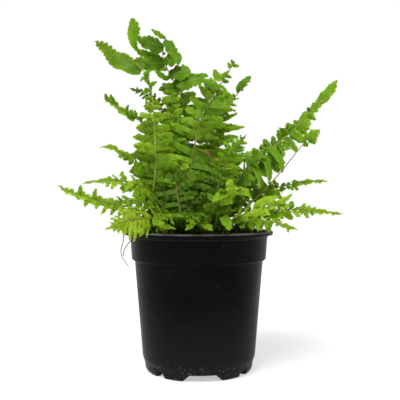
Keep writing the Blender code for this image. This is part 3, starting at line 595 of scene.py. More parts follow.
def add_shells(shape, sheet, normal, rows, across, **values):
    """Thin closed shells round leaf sheets (leaves, along, across, 3), a little thicker at the rib."""
    leaves, along, columns = sheet.shape[:3]
    inside = np.zeros((along, columns, 1))
    inside[1:-1, 1:-1] = 0.5 * LEAFLET_THICK
    lift = normal * inside * (1.0 + np.exp(-(across / 0.2) ** 2))[:, None]
    sheet = clear_of_pot(sheet)
    sides = (sheet + lift, (sheet - lift)[:, 1:-1, 1:-1])
    points = np.concatenate([side.reshape(leaves, -1, 3) for side in sides], 1)
    uv = np.stack(np.broadcast_arrays(rows[:, None], 0.5 + 0.5 * across), -1)
    uvs = np.vstack((uv.reshape(-1, 2), uv[1:-1, 1:-1].reshape(-1, 2)))
    under = np.arange(len(uvs)) >= along * columns
    shape.add(points, [leaf_faces(along, columns, leaves)], np.tile(uvs, (leaves, 1)),
              under=np.tile(under, leaves), **repeated(values, leaves, len(uvs)))


def add_leaves(shape, teeth, place, draw, **values):
    """Leaf shells at many places at once.

    place holds origin, axis (root to tip) and normal, one row a leaf, and numbers or arrays of
    them: hand (1 where the frond's tip lies on the left of the axis, seen against the normal),
    length, width and the leaf_outline numbers.
    In the leaf's own frame, s runs from root to tip and t from -1 to 1:
    half width = width/2 * (outline + an ear at the root on the side of the frond's tip);
    x = length * s, rolled up by curl;
    y = t * half width + hand * bend * length * s^2;
    z = fold * |y| - droop * length * s^2 + ruffle * |t|^1.5 * waves, turned about x by twist.
    """
    leaves = len(place["length"])
    rows = leaf_rows(teeth, POINTED)
    columns = np.linspace(-1.0, 1.0, 3)
    s, t = rows[:, None], columns
    own = SimpleNamespace(shift=0.0, **{key: np.asarray(v).reshape(-1, 1, 1)
                                        for key, v in place.items() if np.ndim(v) < 2})
    whole, notch = leaf_outline(s, teeth, own)
    ear = own.ear * np.exp(-((s - 0.10) / 0.07) ** 2) * (t * own.hand > 0)
    half = 0.5 * own.width * np.maximum(whole + ear - notch, 0.03)
    phase = draw.uniform(0.0, math.tau, (leaves, 1, 1))
    pace = draw.uniform(1.8, 3.3, (leaves, 1, 1))
    wave = np.sin(math.tau * pace * s + phase + 2.1 * (t > 0)) * np.sin(math.pi * s * 0.94) ** 0.6
    y = t * half + own.hand * own.bend * own.length * s ** 2
    z = (own.fold * np.abs(t * half) - own.droop * own.length * s ** 2
         + own.ruffle * np.abs(t) ** 1.5 * wave)
    turn = own.twist * (0.3 + 0.7 * s)
    y, z = y * np.cos(turn) - z * np.sin(turn), y * np.sin(turn) + z * np.cos(turn)
    curl = np.where(np.abs(own.curl) < 1e-3, 1e-3, own.curl)
    rise = own.length * (1.0 - np.cos(curl * s)) / curl
    x = own.length * np.sin(curl * s) / curl - z * np.sin(curl * s)
    z = z * np.cos(curl * s) - rise
    origin, axis, normal = (place[key][:, None, None] for key in ("origin", "axis", "normal"))
    over = unit(np.cross(normal, axis))
    sheet = origin + x[..., None] * axis + y[..., None] * over + z[..., None] * normal
    add_shells(shape, sheet, normal, rows, columns, **values)


def add_sheet(shape, path, normal, width, teeth, across, draw, form, **values):
    """One leaf along a path of points, with a normal at each point.

    point = path + t * half width * over + (fold * |t| * half width + ruffle waves) * normal,
    where over is square to the path and the normal.
    """
    rows = leaf_rows(teeth, ROUNDED)
    columns = np.linspace(-1.0, 1.0, across)
    marks = np.linspace(0.0, 1.0, len(path))
    line = rows_at(marks, path, rows)
    normal = unit(rows_at(marks, normal, rows))
    tangent = unit(np.gradient(line, axis=0))
    over = unit(np.cross(normal, tangent))
    normal = np.cross(tangent, over)
    s, t = rows[:, None], columns[None]
    form.shift = 0.4 * (t > 0)
    whole, notch = leaf_outline(s, teeth, form)
    half = 0.5 * width * np.maximum(whole - notch * form.toothed(s), 0.03)
    wave = np.sin(math.tau * form.pace * s + draw.uniform(0.0, 6.0) + 2.1 * (t > 0))
    z = (form.fold * np.abs(t) * half
         + form.ruffle * np.abs(t) ** 1.5 * wave * np.sin(math.pi * s) ** 0.5)
    sheet = line[:, None] + (t * half)[..., None] * over[:, None] + z[..., None] * normal[:, None]
    add_shells(shape, sheet[None], normal[None, :, None], rows, columns, **values)


def blade_share(s):
    """Leaflet length along the blade, as a share of the longest: short, full, then tapered."""
    return (0.62 + 0.38 * np.clip(s / 0.20, 0.0, 1.0)) * np.clip(1.0 - s ** 2.6, 0.0, 1.0) ** 0.75 + 0.10


def leaflet_places(frond, path, marks, frames, draw, broad):
    """Where a frond's leaflets sit and how each one is bent, as add_leaves takes it, and their tone, with
    painted shade on the inner ones.
    """
    start = frond.bare * marks[-1]
    reach = marks[-1] - start
    count = 2 * max(4, int(round(reach / frond.spacing)))
    u = (np.arange(count) + 0.5 + draw.normal(0, 0.10, count)) / count
    hand = np.where(np.arange(count) % 2 == 0, 1.0, -1.0)
    s = np.clip(1.10 * u - 0.10 * u ** 2, 0.0, 0.985)
    keep = s < frond.tip[0] + TIP_OVERLAP
    for leaf in broad:
        keep &= np.abs(s - leaf.share) > BROAD_APART
    s, hand = s[keep], hand[keep][:, None]
    n = len(s)
    centre, tangent, side, upper = (rows_at(marks, v, start + reach * s) for v in (path, *frames))
    tangent, side, upper = unit(tangent), unit(side), unit(upper)
    sweep = np.radians(5 + 30 * s ** 1.8 + draw.normal(0, 6, n) * frond.stir)[:, None]
    lift = np.radians(frond.lift + draw.normal(0, 11, n) * frond.stir)[:, None]
    outward = side * hand * np.cos(sweep) + tangent * np.sin(sweep)
    axis = outward * np.cos(lift) + upper * np.sin(lift)
    weight = (0.5 + draw.random(n))[:, None] * np.where(axis[:, 2:] < 0.12, 1.0, 0.15)
    axis = unit(axis - np.array((0.0, 0.0, frond.hang)) * weight)
    tipward = tangent * np.cos(sweep) - side * hand * np.sin(sweep)
    tipward = unit(tipward - axis * (tipward * axis).sum(1)[:, None])
    turn = np.radians(12 + draw.normal(0, 16, n) * frond.stir)[:, None]
    normal = unit(np.cross(axis, tipward) * hand * np.cos(turn) - tipward * np.sin(turn))
    local = np.interp(s, list(frond.sizes), list(frond.sizes.values()))
    local *= np.where(axis[:, 2] > 0.25, frond.upper, 1.0)
    size = frond.half_width * blade_share(s) * local * (1.0 + draw.normal(0, 0.07, n))
    width = frond.wide * np.minimum(frond.spacing * 1.25, 0.32 * size + 2.4)
    width = width * (1.0 + draw.normal(0, 0.07, n))
    origin = centre + side * hand * LEAFLET_ROOT
    place = dict(
        origin=origin, axis=axis, normal=normal, hand=hand[:, 0], length=size, width=width,
        base=0.62, neck=-0.04, belly=0.10, tooth=0.10, blunt=9.0 - 4.5 * s,
        taper=frond.taper + 0.20 * s + draw.normal(0, 0.05, n),
        ear=0.30 + draw.normal(0, 0.05, n),
        fold=-0.42 + draw.normal(0, 0.16, n),
        droop=0.10 + draw.normal(0, 0.07, n),
        bend=0.16 * (1.0 - 1.5 * np.abs(tangent[:, 2])) + draw.normal(0, 0.06, n),
        ruffle=width * (0.21 + draw.normal(0, 0.04, n)),
        twist=draw.normal(0, 0.34, n) * frond.stir,
        curl=0.40 + draw.normal(0, 0.42, n) * frond.stir,
    )
    # painted shade: leaflets low and near the axis are darkened, where the fronds shade each other
    painted_shade = SHADE_DEPTH * ramp(SHADE_TOP - origin[:, 2], 0.0, SHADE_TOP - SHADE_FOOT)
    painted_shade *= 1.0 - ramp(np.hypot(*origin[:, :2].T), 40.0, 80.0)
    return place, np.clip(frond.tone + 0.14 * s - painted_shade + draw.normal(0, 0.09, n), 0.0, 1.0)


def blade_mark(frond, marks, share):
    """How far along a frond's path a share of its blade lies."""
    return marks[-1] * (frond.bare + (1.0 - frond.bare) * share)


def add_frond(shape, frond, draw, broad=()):
    """One frond: a tapered stipe and rachis, two rows of leaflets and a lobed tip."""
    path, marks = smooth_route(((*frond.foot, STIPE_DEPTH),) + frond.route, RACHIS_STEP)
    frames = blade_frames(path, frond.facing, frond.roll)
    share = marks / marks[-1]
    thick = min(1.0, 0.62 + 0.019 * frond.half_width)
    radius = thick * (RACHIS_RADIUS[0] + (RACHIS_RADIUS[1] - RACHIS_RADIUS[0]) * share ** 0.8)
    add_tube(shape, path, radius, RACHIS_SIDES, stem=1.0, tone=frond.tone,
             brown=np.maximum(frond.rib, 1.0 - ramp(share, 0.02, 0.26)))
    place, tone = leaflet_places(frond, path, marks, frames, draw, broad)
    add_leaves(shape, TEETH, place, draw, tone=tone, yellow=frond.yellow)
    if frond.tip[1]:
        add_tip(shape, frond, path, marks, frames, draw)
    for leaf in broad:
        add_broad_leaf(shape, frond, path, marks, leaf, draw)


def add_tip(shape, frond, path, marks, frames, draw):
    """The frond's tip, where the leaflets run together into one lobed and ruffled ribbon."""
    begin, width = frond.tip
    start, end = (blade_mark(frond, marks, share) for share in (begin, frond.ends))
    where = np.linspace(start, end, 24)
    line = rows_at(marks, path, where)
    line[-1] += 2.0 * frames[0][-1]
    normal = unit(rows_at(marks, frames[2], where)) + frond.face
    lobes = max(5, int((end - start) / TIP_LOBE))
    uneven = draw.uniform(0.7, 1.3, (len(ROUNDED) * lobes + 1, 1))
    form = SimpleNamespace(base=0.6, neck=-0.5, belly=0.10, taper=frond.close, blunt=8.0,
                           tooth=0.42 * uneven, toothed=np.ones_like, pace=0.4 * lobes,
                           fold=-0.15, ruffle=0.16 * width)
    add_sheet(shape, line, normal, width, lobes, 5, draw, form, tone=frond.tone + 0.12,
              yellow=frond.yellow)


def add_broad_leaf(shape, frond, path, marks, leaf, draw):
    """A large leaf near a frond's end, along its own route and turned to its own facing."""
    root = rows_at(marks, path, np.array([blade_mark(frond, marks, leaf.share)]))
    line, _ = smooth_route((tuple(root[0]),) + leaf.route, 1.0)
    form = SimpleNamespace(base=0.28, neck=leaf.neck, belly=leaf.belly, taper=leaf.taper,
                           blunt=leaf.blunt, tooth=0.26, toothed=lambda s: 0.25 + 0.95 * s ** 1.5,
                           pace=2.4, fold=-0.16, ruffle=0.13 * leaf.width)
    normal = np.broadcast_to(leaf.facing, line.shape)
    teeth = max(5, int(len(line) / BROAD_TOOTH))
    add_sheet(shape, line, normal, leaf.width, teeth, 9, draw, form, tone=leaf.tone,
              brown=leaf.brown, yellow=leaf.yellow)


def make_fronds(leaf):
    """Every frond of the solids, drawn again with fine leaflets."""
    for seed, frond in enumerate(FRONDS, FIRST_FROND_SEED):
        shape = Shape()
        add_frond(shape, frond, np.random.default_rng(seed), BROAD_LEAVES.get(frond.name, ()))
        piece = shape.make("leafy_" + frond.name, leaf)
        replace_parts(piece, "frond_" + frond.name)


def make_young_fronds(leaf):
    """Short young fronds that ring the crown and lean out to the pot's lip."""
    draw = np.random.default_rng(YOUNG_SEED)
    for half, name in enumerate(("young_fronds_front", "young_fronds_back")):
        shape = Shape()
        for index in range(YOUNG_FRONDS):
            turn = 180.0 + 180.0 * half + (index + 0.5) * 180.0 / YOUNG_FRONDS
            angle = math.radians(turn + draw.normal(0, 3))
            foot = draw.uniform(20, 30)
            mid, end = draw.uniform(38, 48), draw.uniform(56, 74)
            rise = draw.uniform(148, 159)
            top = rise + draw.uniform(-2, 22)
            swing = draw.normal(0, 0.16)
            route = tuple((*polar(reach, angle + swing * k), height) for k, (reach, height)
                          in enumerate(((foot + 4, 146), (mid, rise), (end, top))))
            frond = Frond("young", math.degrees(angle), draw.normal(0, 14), draw.uniform(8.5, 12), 0.12,
                          polar(foot, angle), route, tone=draw.uniform(0.45, 0.85), spacing=6.2)
            add_frond(shape, frond, draw)
        shape.make(name, leaf)


def make_runners(leaf):
    """Two thin leafless runners that hang over the lip."""
    for runner in RUNNERS:
        path, marks = smooth_route(((*runner.foot, RUNNER_FOOT),) + runner.route, RUNNER_STEP)
        shape = Shape()
        radius = RUNNER_RADIUS * (1.15 - 0.55 * (marks / marks[-1]))
        add_tube(shape, path, radius, RUNNER_SIDES, stem=1.0, brown=0.15 + 0.7 * runner.tone)
        piece = shape.make("hanging_runner_" + runner.name, leaf)
        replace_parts(piece, "runner_" + runner.name)


def collar_radius(height):
    """The collar's outer radius, which grows a little towards the lip."""
    return COLLAR_RADIUS + COLLAR_GROWTH * (height - COLLAR_FOOT) / (COLLAR_TOP - COLLAR_FOOT)


def body_radius(height):
    """The body's outer radius, which grows from the base to the collar."""
    return BODY_RADIUS + BODY_GROWTH * (height - BODY_FOOT) / (COLLAR_FOOT - BODY_FOOT)


def pot_angles():
    """Columns round the pot, with some right at the corners of every notch between the feet."""
    corners = np.array([place + side * half for place, halves in NOTCHES.items()
                        for half in halves for side in (-1, 1)])
    corners = (corners + 180.0) % 360.0 - 180.0
    even = np.arange(-180.0, 180.0, POT_STEP)
    clear = np.abs(even[:, None] - corners[None]).min(axis=1) > CORNER_CLEAR
    turn = np.sort(np.concatenate((corners, even[clear])))
    notch = np.zeros_like(turn)
    for place, (top, foot) in NOTCHES.items():
        off = np.abs((turn - place + 180.0) % 360.0 - 180.0)
        notch = np.maximum(notch, 1.0 - np.clip((off - top) / (foot - top), 0.0, 1.0))
    return np.radians(FRONT_NOTCH + turn), notch


def make_pot(plastic):
    """The pot: one turned profile, notched between its feet, with drain holes cut in its floor."""
    profile = rounded((
        (0.0, FLOOR_TOP, 0.0), (57.0, FLOOR_TOP, 2.0), (60.9, 15.6, 2.0),
        (body_radius(120) - WALL, 121.0, 0.6), (collar_radius(123) - WALL, 123.4, 0.8),
        (74.9, COLLAR_TOP, 2.0), (78.8, 152.0, 1.0), (79.6, POT_HEIGHT, 0.6),
        (81.8, POT_HEIGHT, 0.7), (LIP_RADIUS, 152.0, 0.6), (LIP_RADIUS, 149.5, 0.5),
        (81.9, 148.7, 0.4), (78.0, 148.3, 0.5), (77.1, 147.6, 0.5), (76.9, 146.3, 0.25),
        (collar_radius(145.9), 145.9, 0.25), (collar_radius(122.4), 122.4, 0.5),
        (73.9, 121.4, 0.4), (71.8, 121.1, 0.5), (body_radius(119.6), 119.6, 0.8),
        (body_radius(70), 70.0, 0.0), (BODY_RADIUS, BODY_FOOT, 3.0), (60.4, 10.4, 1.6),
        (59.9, 7.4, 0.0), (59.4, 3.2, 1.4), (57.4, 0.0, 1.0), (51.0, 0.0, 0.6),
        (50.4, FLOOR_BOTTOM, 0.0), (0.0, FLOOR_BOTTOM, 0.0),
    ))
    angles, notch = pot_angles()
    radius, height = profile[:, :1], profile[:, 1:]
    base = FOOT_HEIGHT * notch
    height = np.where(height < FLOOR_BOTTOM, base + (FLOOR_BOTTOM - base) * height / FLOOR_BOTTOM, height)
    shape = Shape()
    add_lathe(shape, radius, height, angles)
    pot = shape.make("pot_shell", plastic, sharp=POT_SHARP)
    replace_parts(pot, "pot")
    cut_drains(pot)


def cut_drains(pot):
    """Cuts the round drain holes through the pot's floor."""
    angle = np.radians(FRONT_NOTCH + np.array(list(NOTCHES)))
    radius = np.array((0.0, DRAIN_RADIUS, DRAIN_RADIUS, 0.0))[:, None]
    height = np.repeat((FLOOR_TOP + CUT_PAST, FLOOR_BOTTOM - CUT_PAST), 2)[:, None]
    tool = Shape()
    for centre in np.vstack(((0.0, 0.0), np.column_stack(polar(DRAIN_RING, angle)))):
        add_lathe(tool, radius, height, full_turn(DRAIN_SIDES))
        tool.points[-1][:, :2] += centre
    cutter = add_object("drain_tool", tool.mesh("drain_tool"))
    hole = pot.modifiers.new("drains", "BOOLEAN")
    hole.operation = "DIFFERENCE"
    hole.object = cutter
    hole.solver = "EXACT"
    bpy.context.view_layer.objects.active = pot
    bpy.ops.object.modifier_apply(modifier=hole.name)
    bpy.data.objects.remove(cutter)
    pot.data.set_sharp_from_angle(angle=math.radians(POT_SHARP))


def crumb_relief(x, y, draw, count, reach, size):
    """Relief of half-round crumbs: the highest sqrt(r^2 - d^2) of all of them at each point."""
    relief = np.zeros_like(x)
    spots = reach * np.sqrt(draw.random(count)) * np.exp(2j * math.pi * draw.random(count))
    for spot, r in zip(spots, draw.uniform(*size, count)):
        gap = (x - spot.real) ** 2 + (y - spot.imag) ** 2
        relief = np.maximum(relief, np.sqrt(np.maximum(r * r - gap, 0.0)) * 0.8)
    relief[0] = relief[0, 0]
    return relief


def soil_height(radius):
    """The peat's height, flat under the crown, with a low ring and a dip at the wall."""
    return np.interp(radius, (0, 38, 46, 62, 73.5), (SOIL_FLAT, SOIL_FLAT, 139.6, 140.2, 137.6))


def make_soil(peat):
    """The peat: a crumbly top on a turned plug that fills the pot."""
    angles = full_turn(SOIL_SIDES)
    top = np.concatenate(([0.0], np.linspace(4.0, SOIL_EDGE, SOIL_RINGS)))[:, None] * np.ones_like(angles)
    draw = np.random.default_rng(SOIL_SEED)
    relief = crumb_relief(*polar(top, angles), draw, GRAINS, GRAIN_REACH, GRAIN_SIZES)
    height = soil_height(top) + relief * (1.0 - ramp(top, 71.0, SOIL_EDGE))
    side = np.array(((72.9, SOIL_FLAT), (body_radius(100) - 1.9, 100.0), (60.4, 16.0),
                     (56.7, SOIL_FOOT), (0.0, SOIL_FOOT)))
    radius, height = (np.vstack((rows, column[:, None] * np.ones_like(angles)))
                      for rows, column in zip((top, height), side.T))
    shape = Shape()
    add_lathe(shape, radius, height, angles)
    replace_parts(shape.make("peat_bed", peat), "soil")


def add_bits(shape, centres, sizes, draw, flat=0.75):
    """Small angular bits: an icosahedron at each centre, squashed, turned and knocked about."""
    golden = (1.0 + math.sqrt(5.0)) / 2.0
    base = np.array([(a, b * golden, 0) for a in (-1, 1) for b in (-1, 1)])
    base = unit(np.vstack((base, np.roll(base, 1, 1), np.roll(base, 2, 1))))
    near = np.linalg.norm(base[:, None] - base, axis=-1) < 1.1
    faces = np.array([f for f in combinations(range(12), 3) if near[np.ix_(f, f)].all()])
    a, b, c = (base[faces[:, k]] for k in range(3))
    wrong = (np.cross(b - a, c - a) * a).sum(1) < 0
    faces[wrong] = faces[wrong][:, ::-1]
    n = len(centres)
    knocked = base[None] * draw.uniform(0.72, 1.15, (n, 12, 1)) * (1.0, 0.8, flat)
    turn, _ = np.linalg.qr(draw.normal(size=(n, 3, 3)))
    turn *= np.sign(np.linalg.det(turn))[:, None, None]
    points = centres[:, None] + (knocked @ turn) * sizes[:, None, None]
    shape.add(points, [(faces[None] + 12 * np.arange(n)[:, None, None]).reshape(-1, 3)],
              tone=np.repeat(draw.random(n), 12))


def make_crumbs(peat, perlite):
    """Loose peat crumbs, and the white perlite that is mixed into such soil, strewn in a ring."""
    draw = np.random.default_rng(CRUMB_SEED)
    for name, material, count, ring, rise, size, flat in (
        ("peat_crumbs", peat, CRUMBS, (36.0, 71.0), (0.8, 2.4), (0.6, 2.0), 0.75),
        ("perlite_specks", perlite, SPECKS, (34.0, 70.0), (1.2, 2.6), (0.5, 1.5), 0.9),
    ):
        angle = draw.uniform(0.0, math.tau, count)
        reach = np.sqrt(draw.uniform(ring[0] ** 2, ring[1] ** 2, count))
        centres = np.column_stack((*polar(reach, angle), soil_height(reach)))
        centres[:, 2] += draw.uniform(*rise, count)
        shape = Shape()
        add_bits(shape, centres, draw.uniform(*size, count), draw, flat)
        shape.make(name, material)


def crown_reach(angle):
    """The crown's radius, a little three-lobed."""
    return CROWN_RADIUS * (1.0 + 0.05 * np.sin(3.0 * angle + 0.6))


def crown_top(x, y, angle):
    """The crown's height: a low dome with soft lumps, down to its foot at the reach."""
    share = np.clip(np.hypot(x, y) / crown_reach(angle), 0.0, 1.0)
    lump = 0.7 * np.sin(0.33 * x + 1.0) * np.sin(0.37 * y)
    return CROWN_FOOT + (CROWN_HEIGHT + lump) * np.sqrt(1.0 - 0.9 * share ** 2)


def make_crown(bark):
    """The rhizome mat that the stipes grow from, with chaffy scales and old stipe stubs."""
    draw = np.random.default_rng(CROWN_SEED)
    angles = full_turn(CROWN_SIDES)
    share = np.concatenate(([0.0], np.linspace(0.05, 1.0, CROWN_RINGS)))[:, None]
    reach = crown_reach(angles)[None]
    top = share * reach
    x, y = polar(top, angles)
    relief = crumb_relief(x, y, draw, LUMPS, CROWN_RADIUS, LUMP_SIZES) * (1.0 - 0.7 * share)
    height = crown_top(x, y, angles) + relief - CROWN_SINK
    radius = np.vstack((top, 0.97 * reach, 0.0 * reach))
    height = np.vstack((height, np.full((2, len(angles)), CROWN_FOOT - CROWN_SINK)))
    shape = Shape()
    add_lathe(shape, radius, height, angles, tone=0.3)
    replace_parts(shape.make("rhizome_mat", bark), "crown")
    make_scales(bark, draw)
    make_stubs(bark, draw)


def make_scales(bark, draw):
    """Papery brown scales that stand up from the rhizome."""
    angle = draw.uniform(0.0, math.tau, SCALES)
    x, y = polar(SCALES_REACH * np.sqrt(draw.random(SCALES)), angle)
    lean = draw.normal(0, 0.5, (SCALES, 2)) + 0.4 * np.column_stack(polar(1.0, angle))
    axis = unit(np.column_stack((lean, np.ones(SCALES))))
    over = unit(np.cross(axis, draw.normal(size=(SCALES, 3))))
    place = dict(
        origin=np.column_stack((x, y, crown_top(x, y, angle) - 0.6)),
        axis=axis, normal=np.cross(axis, over), hand=1.0,
        length=draw.uniform(3.0, 8.0, SCALES),
        width=draw.uniform(0.5, 1.1, SCALES),
        base=0.28, neck=-0.04, belly=0.2, taper=0.4, blunt=1.6,
        curl=draw.normal(0, 0.8, SCALES),
        ear=0.0, tooth=0.0, fold=0.0, droop=0.0, bend=0.0, ruffle=0.0, twist=0.0,
    )
    shape = Shape()
    add_leaves(shape, 2, place, draw, tone=draw.random(SCALES))
    shape.make("rhizome_scales", bark)


def make_stubs(bark, draw):
    """The stubs of old stipes, each a short tube that leans more towards its end."""
    shape = Shape()
    k = np.linspace(0.0, 1.0, 5)
    for index in range(STUBS):
        angle = draw.uniform(0, math.tau)
        x, y = polar(STUBS_REACH * math.sqrt(draw.random()), angle)
        tall, lean = draw.uniform(5, 13), draw.normal(0, 2.5, 2) + 0.10 * np.array((x, y))
        foot = crown_top(x, y, angle) - 2.0
        path = np.column_stack((x + lean[0] * k * k, y + lean[1] * k * k, foot + tall * k))
        radius = draw.uniform(0.6, 1.0) * np.linspace(1.1, 0.8, len(k))
        add_tube(shape, path, radius, STUB_SIDES, tone=draw.random())
    shape.make("old_stipe_stubs", bark)


class Nodes:
    """The nodes of a material or a world, with short ways to add more."""

    def __init__(self, owner):
        owner.use_nodes = True
        self.owner = owner
        self.tree = owner.node_tree

    def feed(self, node, inputs):
        """Gives a node's inputs a number, a colour or the output of another node."""
        for key, value in inputs.items():
            socket = node.inputs[key]
            if isinstance(value, bpy.types.NodeSocket):
                self.tree.links.new(value, socket)
            else:
                socket.default_value = (*value, 1.0) if socket.type == "RGBA" else value

    def add(self, kind, inputs=None, **settings):
        """Adds a node with these inputs and settings, and returns its outputs."""
        node = self.tree.nodes.new("ShaderNode" + kind)
        for key, value in settings.items():
            setattr(node, key, value)
        self.feed(node, inputs or {})
        return node.outputs

    def maths(self, operation, a, b=0.0):
        """A Math node on outputs or numbers."""
        return self.add("Math", {0: a, 1: b}, operation=operation)[0]

    def times(self, a, b):
        """a * b."""
        return self.maths("MULTIPLY", a, b)

    def less(self, a, b):
        """a - b."""
        return self.maths("SUBTRACT", a, b)

    def plus(self, a, b):
        """a + b."""
        return self.maths("ADD", a, b)

    def above(self, value, low, high, kind="SMOOTHSTEP"):
        """A value mapped to 0 below low and 1 above high."""
        inputs = {"Value": value, "From Min": low, "From Max": high}
        return self.add("MapRange", inputs, interpolation_type=kind)["Result"]

    def below(self, value, low, high, kind="SMOOTHSTEP"):
        """A value mapped to 1 below low and 0 above high."""
        return self.less(1.0, self.above(value, low, high, kind))

    def place(self):
        """The place on the piece, in metres."""
        return self.add("TexCoord")["Object"]

    def value(self, name):
        """A value that the mesh has at each point."""
        return self.add("Attribute", attribute_name=name)["Fac"]

    def noise(self, scale, detail=3.0, rough=0.55):
        """Noise on the place, from 0 to 1."""
        inputs = {"Vector": self.place(), "Scale": scale, "Detail": detail, "Roughness": rough}
        return self.add("TexNoise", inputs)["Fac"]

    def run(self, level, *stops):
        """The colour at a level between (level, colour) stops."""
        out = self.add("ValToRGB", {"Fac": level})["Color"]
        table = out.node.color_ramp.elements
        table.remove(table[1])
        table[0].position, table[0].color = stops[0][0], (*stops[0][1], 1.0)
        for at, colour in stops[1:]:
            table.new(at).color = (*colour, 1.0)
        return out

    def layers(self, colour, *coats):
        """A colour under coats of (share, colour), each mixed over what is below it."""
        for share, coat in coats:
            colour = self.add("Mix", {0: share, 6: colour, 7: coat}, data_type="RGBA")[2]
        return colour

    def finish(self, shader, height=None, strength=0.0, distance=0.0):
        """Sets the material's shader, with a bump of the height if given, and returns the material."""
        if height is not None:
            inputs = {"Height": height, "Strength": strength, "Distance": distance}
            shader["Normal"] = self.add("Bump", inputs)["Normal"]
        self.feed(self.tree.nodes["Principled BSDF"], shader)
        return self.owner


def leaf_material():
    """Fern green by tone, with a pale midrib, faint side veins, brown withering and tan stems."""
    leaf = Nodes(bpy.data.materials.new("fern_green"))
    along, across, _ = leaf.add("SeparateXYZ", {0: leaf.add("UVMap", uv_map="along_across")[0]})
    off = leaf.maths("ABSOLUTE", leaf.less(across, 0.5))
    mottle = leaf.noise(150.0)
    # tone holds each leaf's own tone less the painted shade given to inner leaves
    level = leaf.value("tone")
    for part, middle, share in (
        (mottle, 0.5, 0.35),
        (leaf.noise(26.0, 2.0), 0.5, 0.50),
        (along, 0.45, 0.20),
        # painted highlight: margins lighter and the middle darker across each leaflet
        (off, 0.25, 0.22),
    ):
        level = leaf.plus(level, leaf.times(leaf.less(part, middle), share))
    green = leaf.run(level, (0.0, (0.016, 0.066, 0.0010)), (0.35, (0.060, 0.165, 0.0015)),
                     (0.65, (0.150, 0.320, 0.0040)), (1.0, (0.300, 0.500, 0.022)))
    ribs = leaf.plus(leaf.times(along, 80.0), leaf.times(off, -34.0))
    vein = leaf.maths("POWER", leaf.maths("ABSOLUTE", leaf.maths("SINE", ribs)), 4.0)
    brown = leaf.value("brown")
    green = leaf.layers(
        green,
        (leaf.value("yellow"), (0.30, 0.40, 0.010)),
        (leaf.times(leaf.value("under"), 0.22), (0.17, 0.29, 0.045)),
        (leaf.times(vein, 0.10), (0.26, 0.40, 0.04)),
        (leaf.times(leaf.below(off, 0.015, 0.05), 0.14), (0.26, 0.38, 0.05)),
        (leaf.times(brown, leaf.above(along, 0.15, 0.55)), (0.19, 0.075, 0.016)),
    )
    tan = leaf.run(leaf.noise(70.0), (0.3, (0.22, 0.25, 0.022)), (0.7, (0.38, 0.37, 0.070)))
    stem = leaf.layers(tan, (leaf.times(brown, 0.80), (0.045, 0.030, 0.010)))
    return leaf.finish({
        "Base Color": leaf.layers(green, (leaf.value("stem"), stem)),
        "Roughness": 0.50,
        "Specular IOR Level": 0.14,
        "Subsurface Weight": 0.30,
        "Subsurface Radius": (0.7, 1.0, 0.1),
        "Subsurface Scale": 0.0012,
    }, leaf.less(mottle, leaf.times(vein, 0.4)), 0.35, 0.0004)


def plastic_material():
    """Satin black moulded plastic with dust specks, painted highlights along the lip and the collar's step,
    soft haze and a gritty foot.
    """
    pot = Nodes(bpy.data.materials.new("black_plastic"))
    height = pot.add("SeparateXYZ", {0: pot.place()})[2]
    cloud = pot.noise(16.0, 4.0)
    speck = pot.noise(380.0, 1.0, 0.4)
    scuff = pot.above(pot.noise(300.0, 4.0, 0.7), 0.52, 0.72)
    dirt = pot.plus(pot.times(scuff, 0.45), pot.above(speck, 0.60, 0.70))
    dirt = pot.times(pot.below(height, 0.004, 0.024), dirt)
    # painted highlight: a light line along the lip's top edge, broken up by the cloud
    painted_lip_highlight = pot.times(pot.above(height, 0.1508, 0.1520), pot.above(cloud, 0.26, 0.58))
    # painted highlight: a faint light line at the collar's step, 146 mm up
    off_step_highlight = pot.maths("ABSOLUTE", pot.less(height, 0.1462))
    black = pot.run(cloud, (0.3, (0.0010, 0.0011, 0.0014)), (0.7, (0.0030, 0.0032, 0.0040)))
    black = pot.layers(
        black,
        (pot.times(pot.above(speck, 0.74, 0.80), 0.3), (0.10, 0.10, 0.10)),
        (pot.times(pot.below(height, 0.0, 0.085, "LINEAR"), 0.17), (0.055, 0.055, 0.058)),
        (pot.times(painted_lip_highlight, 0.9), (0.125, 0.125, 0.125)),
        (pot.times(pot.below(off_step_highlight, 0.0003, 0.0009), 0.6), (0.022, 0.022, 0.022)),
        (pot.times(dirt, 0.6), (0.10, 0.095, 0.08)),
    )
    return pot.finish({
        "Base Color": black,
        "Roughness": pot.plus(pot.times(cloud, 0.24), 0.28),
        "Specular IOR Level": 0.04,
        "Sheen Weight": 0.03,
        "Sheen Roughness": 0.35,
    }, pot.noise(900.0, 2.0), 0.22, 0.0002)


def earthy_material(name, dark, light, scale):
    """Rough earthy stuff whose colour runs between two tones, by noise and by the piece's own tone."""
    earth = Nodes(bpy.data.materials.new(name))
    fine = earth.noise(scale, 5.0, 0.65)
    level = earth.plus(earth.times(fine, 0.8), earth.times(earth.value("tone"), 0.45))
    return earth.finish({
        "Base Color": earth.run(level, (0.25, dark), (0.85, light)),
        "Roughness": 0.92,
        "Specular IOR Level": 0.2,
    }, fine, 0.8, 0.0008)


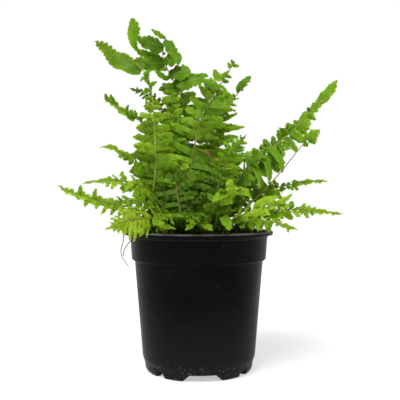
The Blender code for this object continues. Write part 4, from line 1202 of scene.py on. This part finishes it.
def make_stage():
    """A wide pale floor and three soft lights: a key, a fill and one from behind."""
    mesh = bpy.data.meshes.new("floor")
    rim = np.column_stack((*polar(FLOOR_RADIUS, full_turn(FLOOR_SIDES)), np.zeros(FLOOR_SIDES)))
    mesh.from_pydata(rim.tolist(), [], [list(range(FLOOR_SIDES))])
    mesh.materials.append(Nodes(bpy.data.materials.new("pale_floor")).finish({
        "Base Color": (0.60, 0.60, 0.60),
        "Roughness": 0.8,
        "Specular IOR Level": 0.1,
        "Emission Color": (1.0, 1.0, 1.0),
        "Emission Strength": 0.50,
    }))
    add_object("floor", mesh)
    for name, place, spread, power in (
        ("key_light", (-0.40, -0.62, 1.05), 34.0, 2.6),
        ("fill_light", (0.9, -0.5, 0.7), 40.0, 0.55),
        ("back_light", (0.2, 0.9, 0.9), 30.0, 0.5),
    ):
        data = bpy.data.lights.new(name, "SUN")
        data.angle = math.radians(spread)
        data.energy = power
        lamp = add_object(name, data)
        lamp.location = place
        flat = math.hypot(place[0], place[1])
        lamp.rotation_euler = (math.atan2(flat, place[2]), 0.0, math.atan2(place[0], -place[1]))
    bpy.context.scene.view_settings.view_transform = "Standard"


def make_surround():
    """A white surround, bright where it is seen and softer as a light."""
    world = bpy.data.worlds.new("studio")
    bpy.context.scene.world = world
    studio = Nodes(world)
    seen = studio.tree.nodes["Background"]
    studio.feed(seen, {"Strength": 1.0, "Color": (1.0, 1.0, 1.0)})
    soft = studio.add("Background", {"Strength": 0.30, "Color": (1.0, 1.0, 1.0)})[0]
    rays = studio.add("LightPath")["Is Camera Ray"]
    both = studio.add("MixShader", {0: rays, 1: soft, 2: seen.outputs[0]})[0]
    studio.feed(studio.tree.nodes["World Output"], {"Surface": both})


def make_camera():
    """A level camera in front of the pot, at the height that shows a little over its lip."""
    data = bpy.data.cameras.new("camera")
    data.sensor_width = SENSOR
    data.lens = SENSOR * FOCAL_PIXELS / IMAGE_PIXELS
    camera = add_object("camera", data)
    camera.location = np.array(CAMERA_PLACE) * MM
    camera.rotation_euler = (math.pi / 2.0, 0.0, 0.0)
    bpy.context.scene.camera = camera


def main():
    make_camera()
    make_stage()
    make_surround()
    leaf = leaf_material()
    peat = earthy_material("dark_peat", (0.010, 0.006, 0.003), (0.060, 0.038, 0.020), 420.0)
    perlite = earthy_material("white_perlite", (0.45, 0.43, 0.38), (0.80, 0.79, 0.74), 600.0)
    bark = earthy_material("brown_rhizome", (0.022, 0.012, 0.005), (0.16, 0.085, 0.035), 300.0)
    make_pot(plastic_material())
    make_soil(peat)
    make_crumbs(peat, perlite)
    make_crown(bark)
    make_runners(leaf)
    make_fronds(leaf)
    make_young_fronds(leaf)


main()
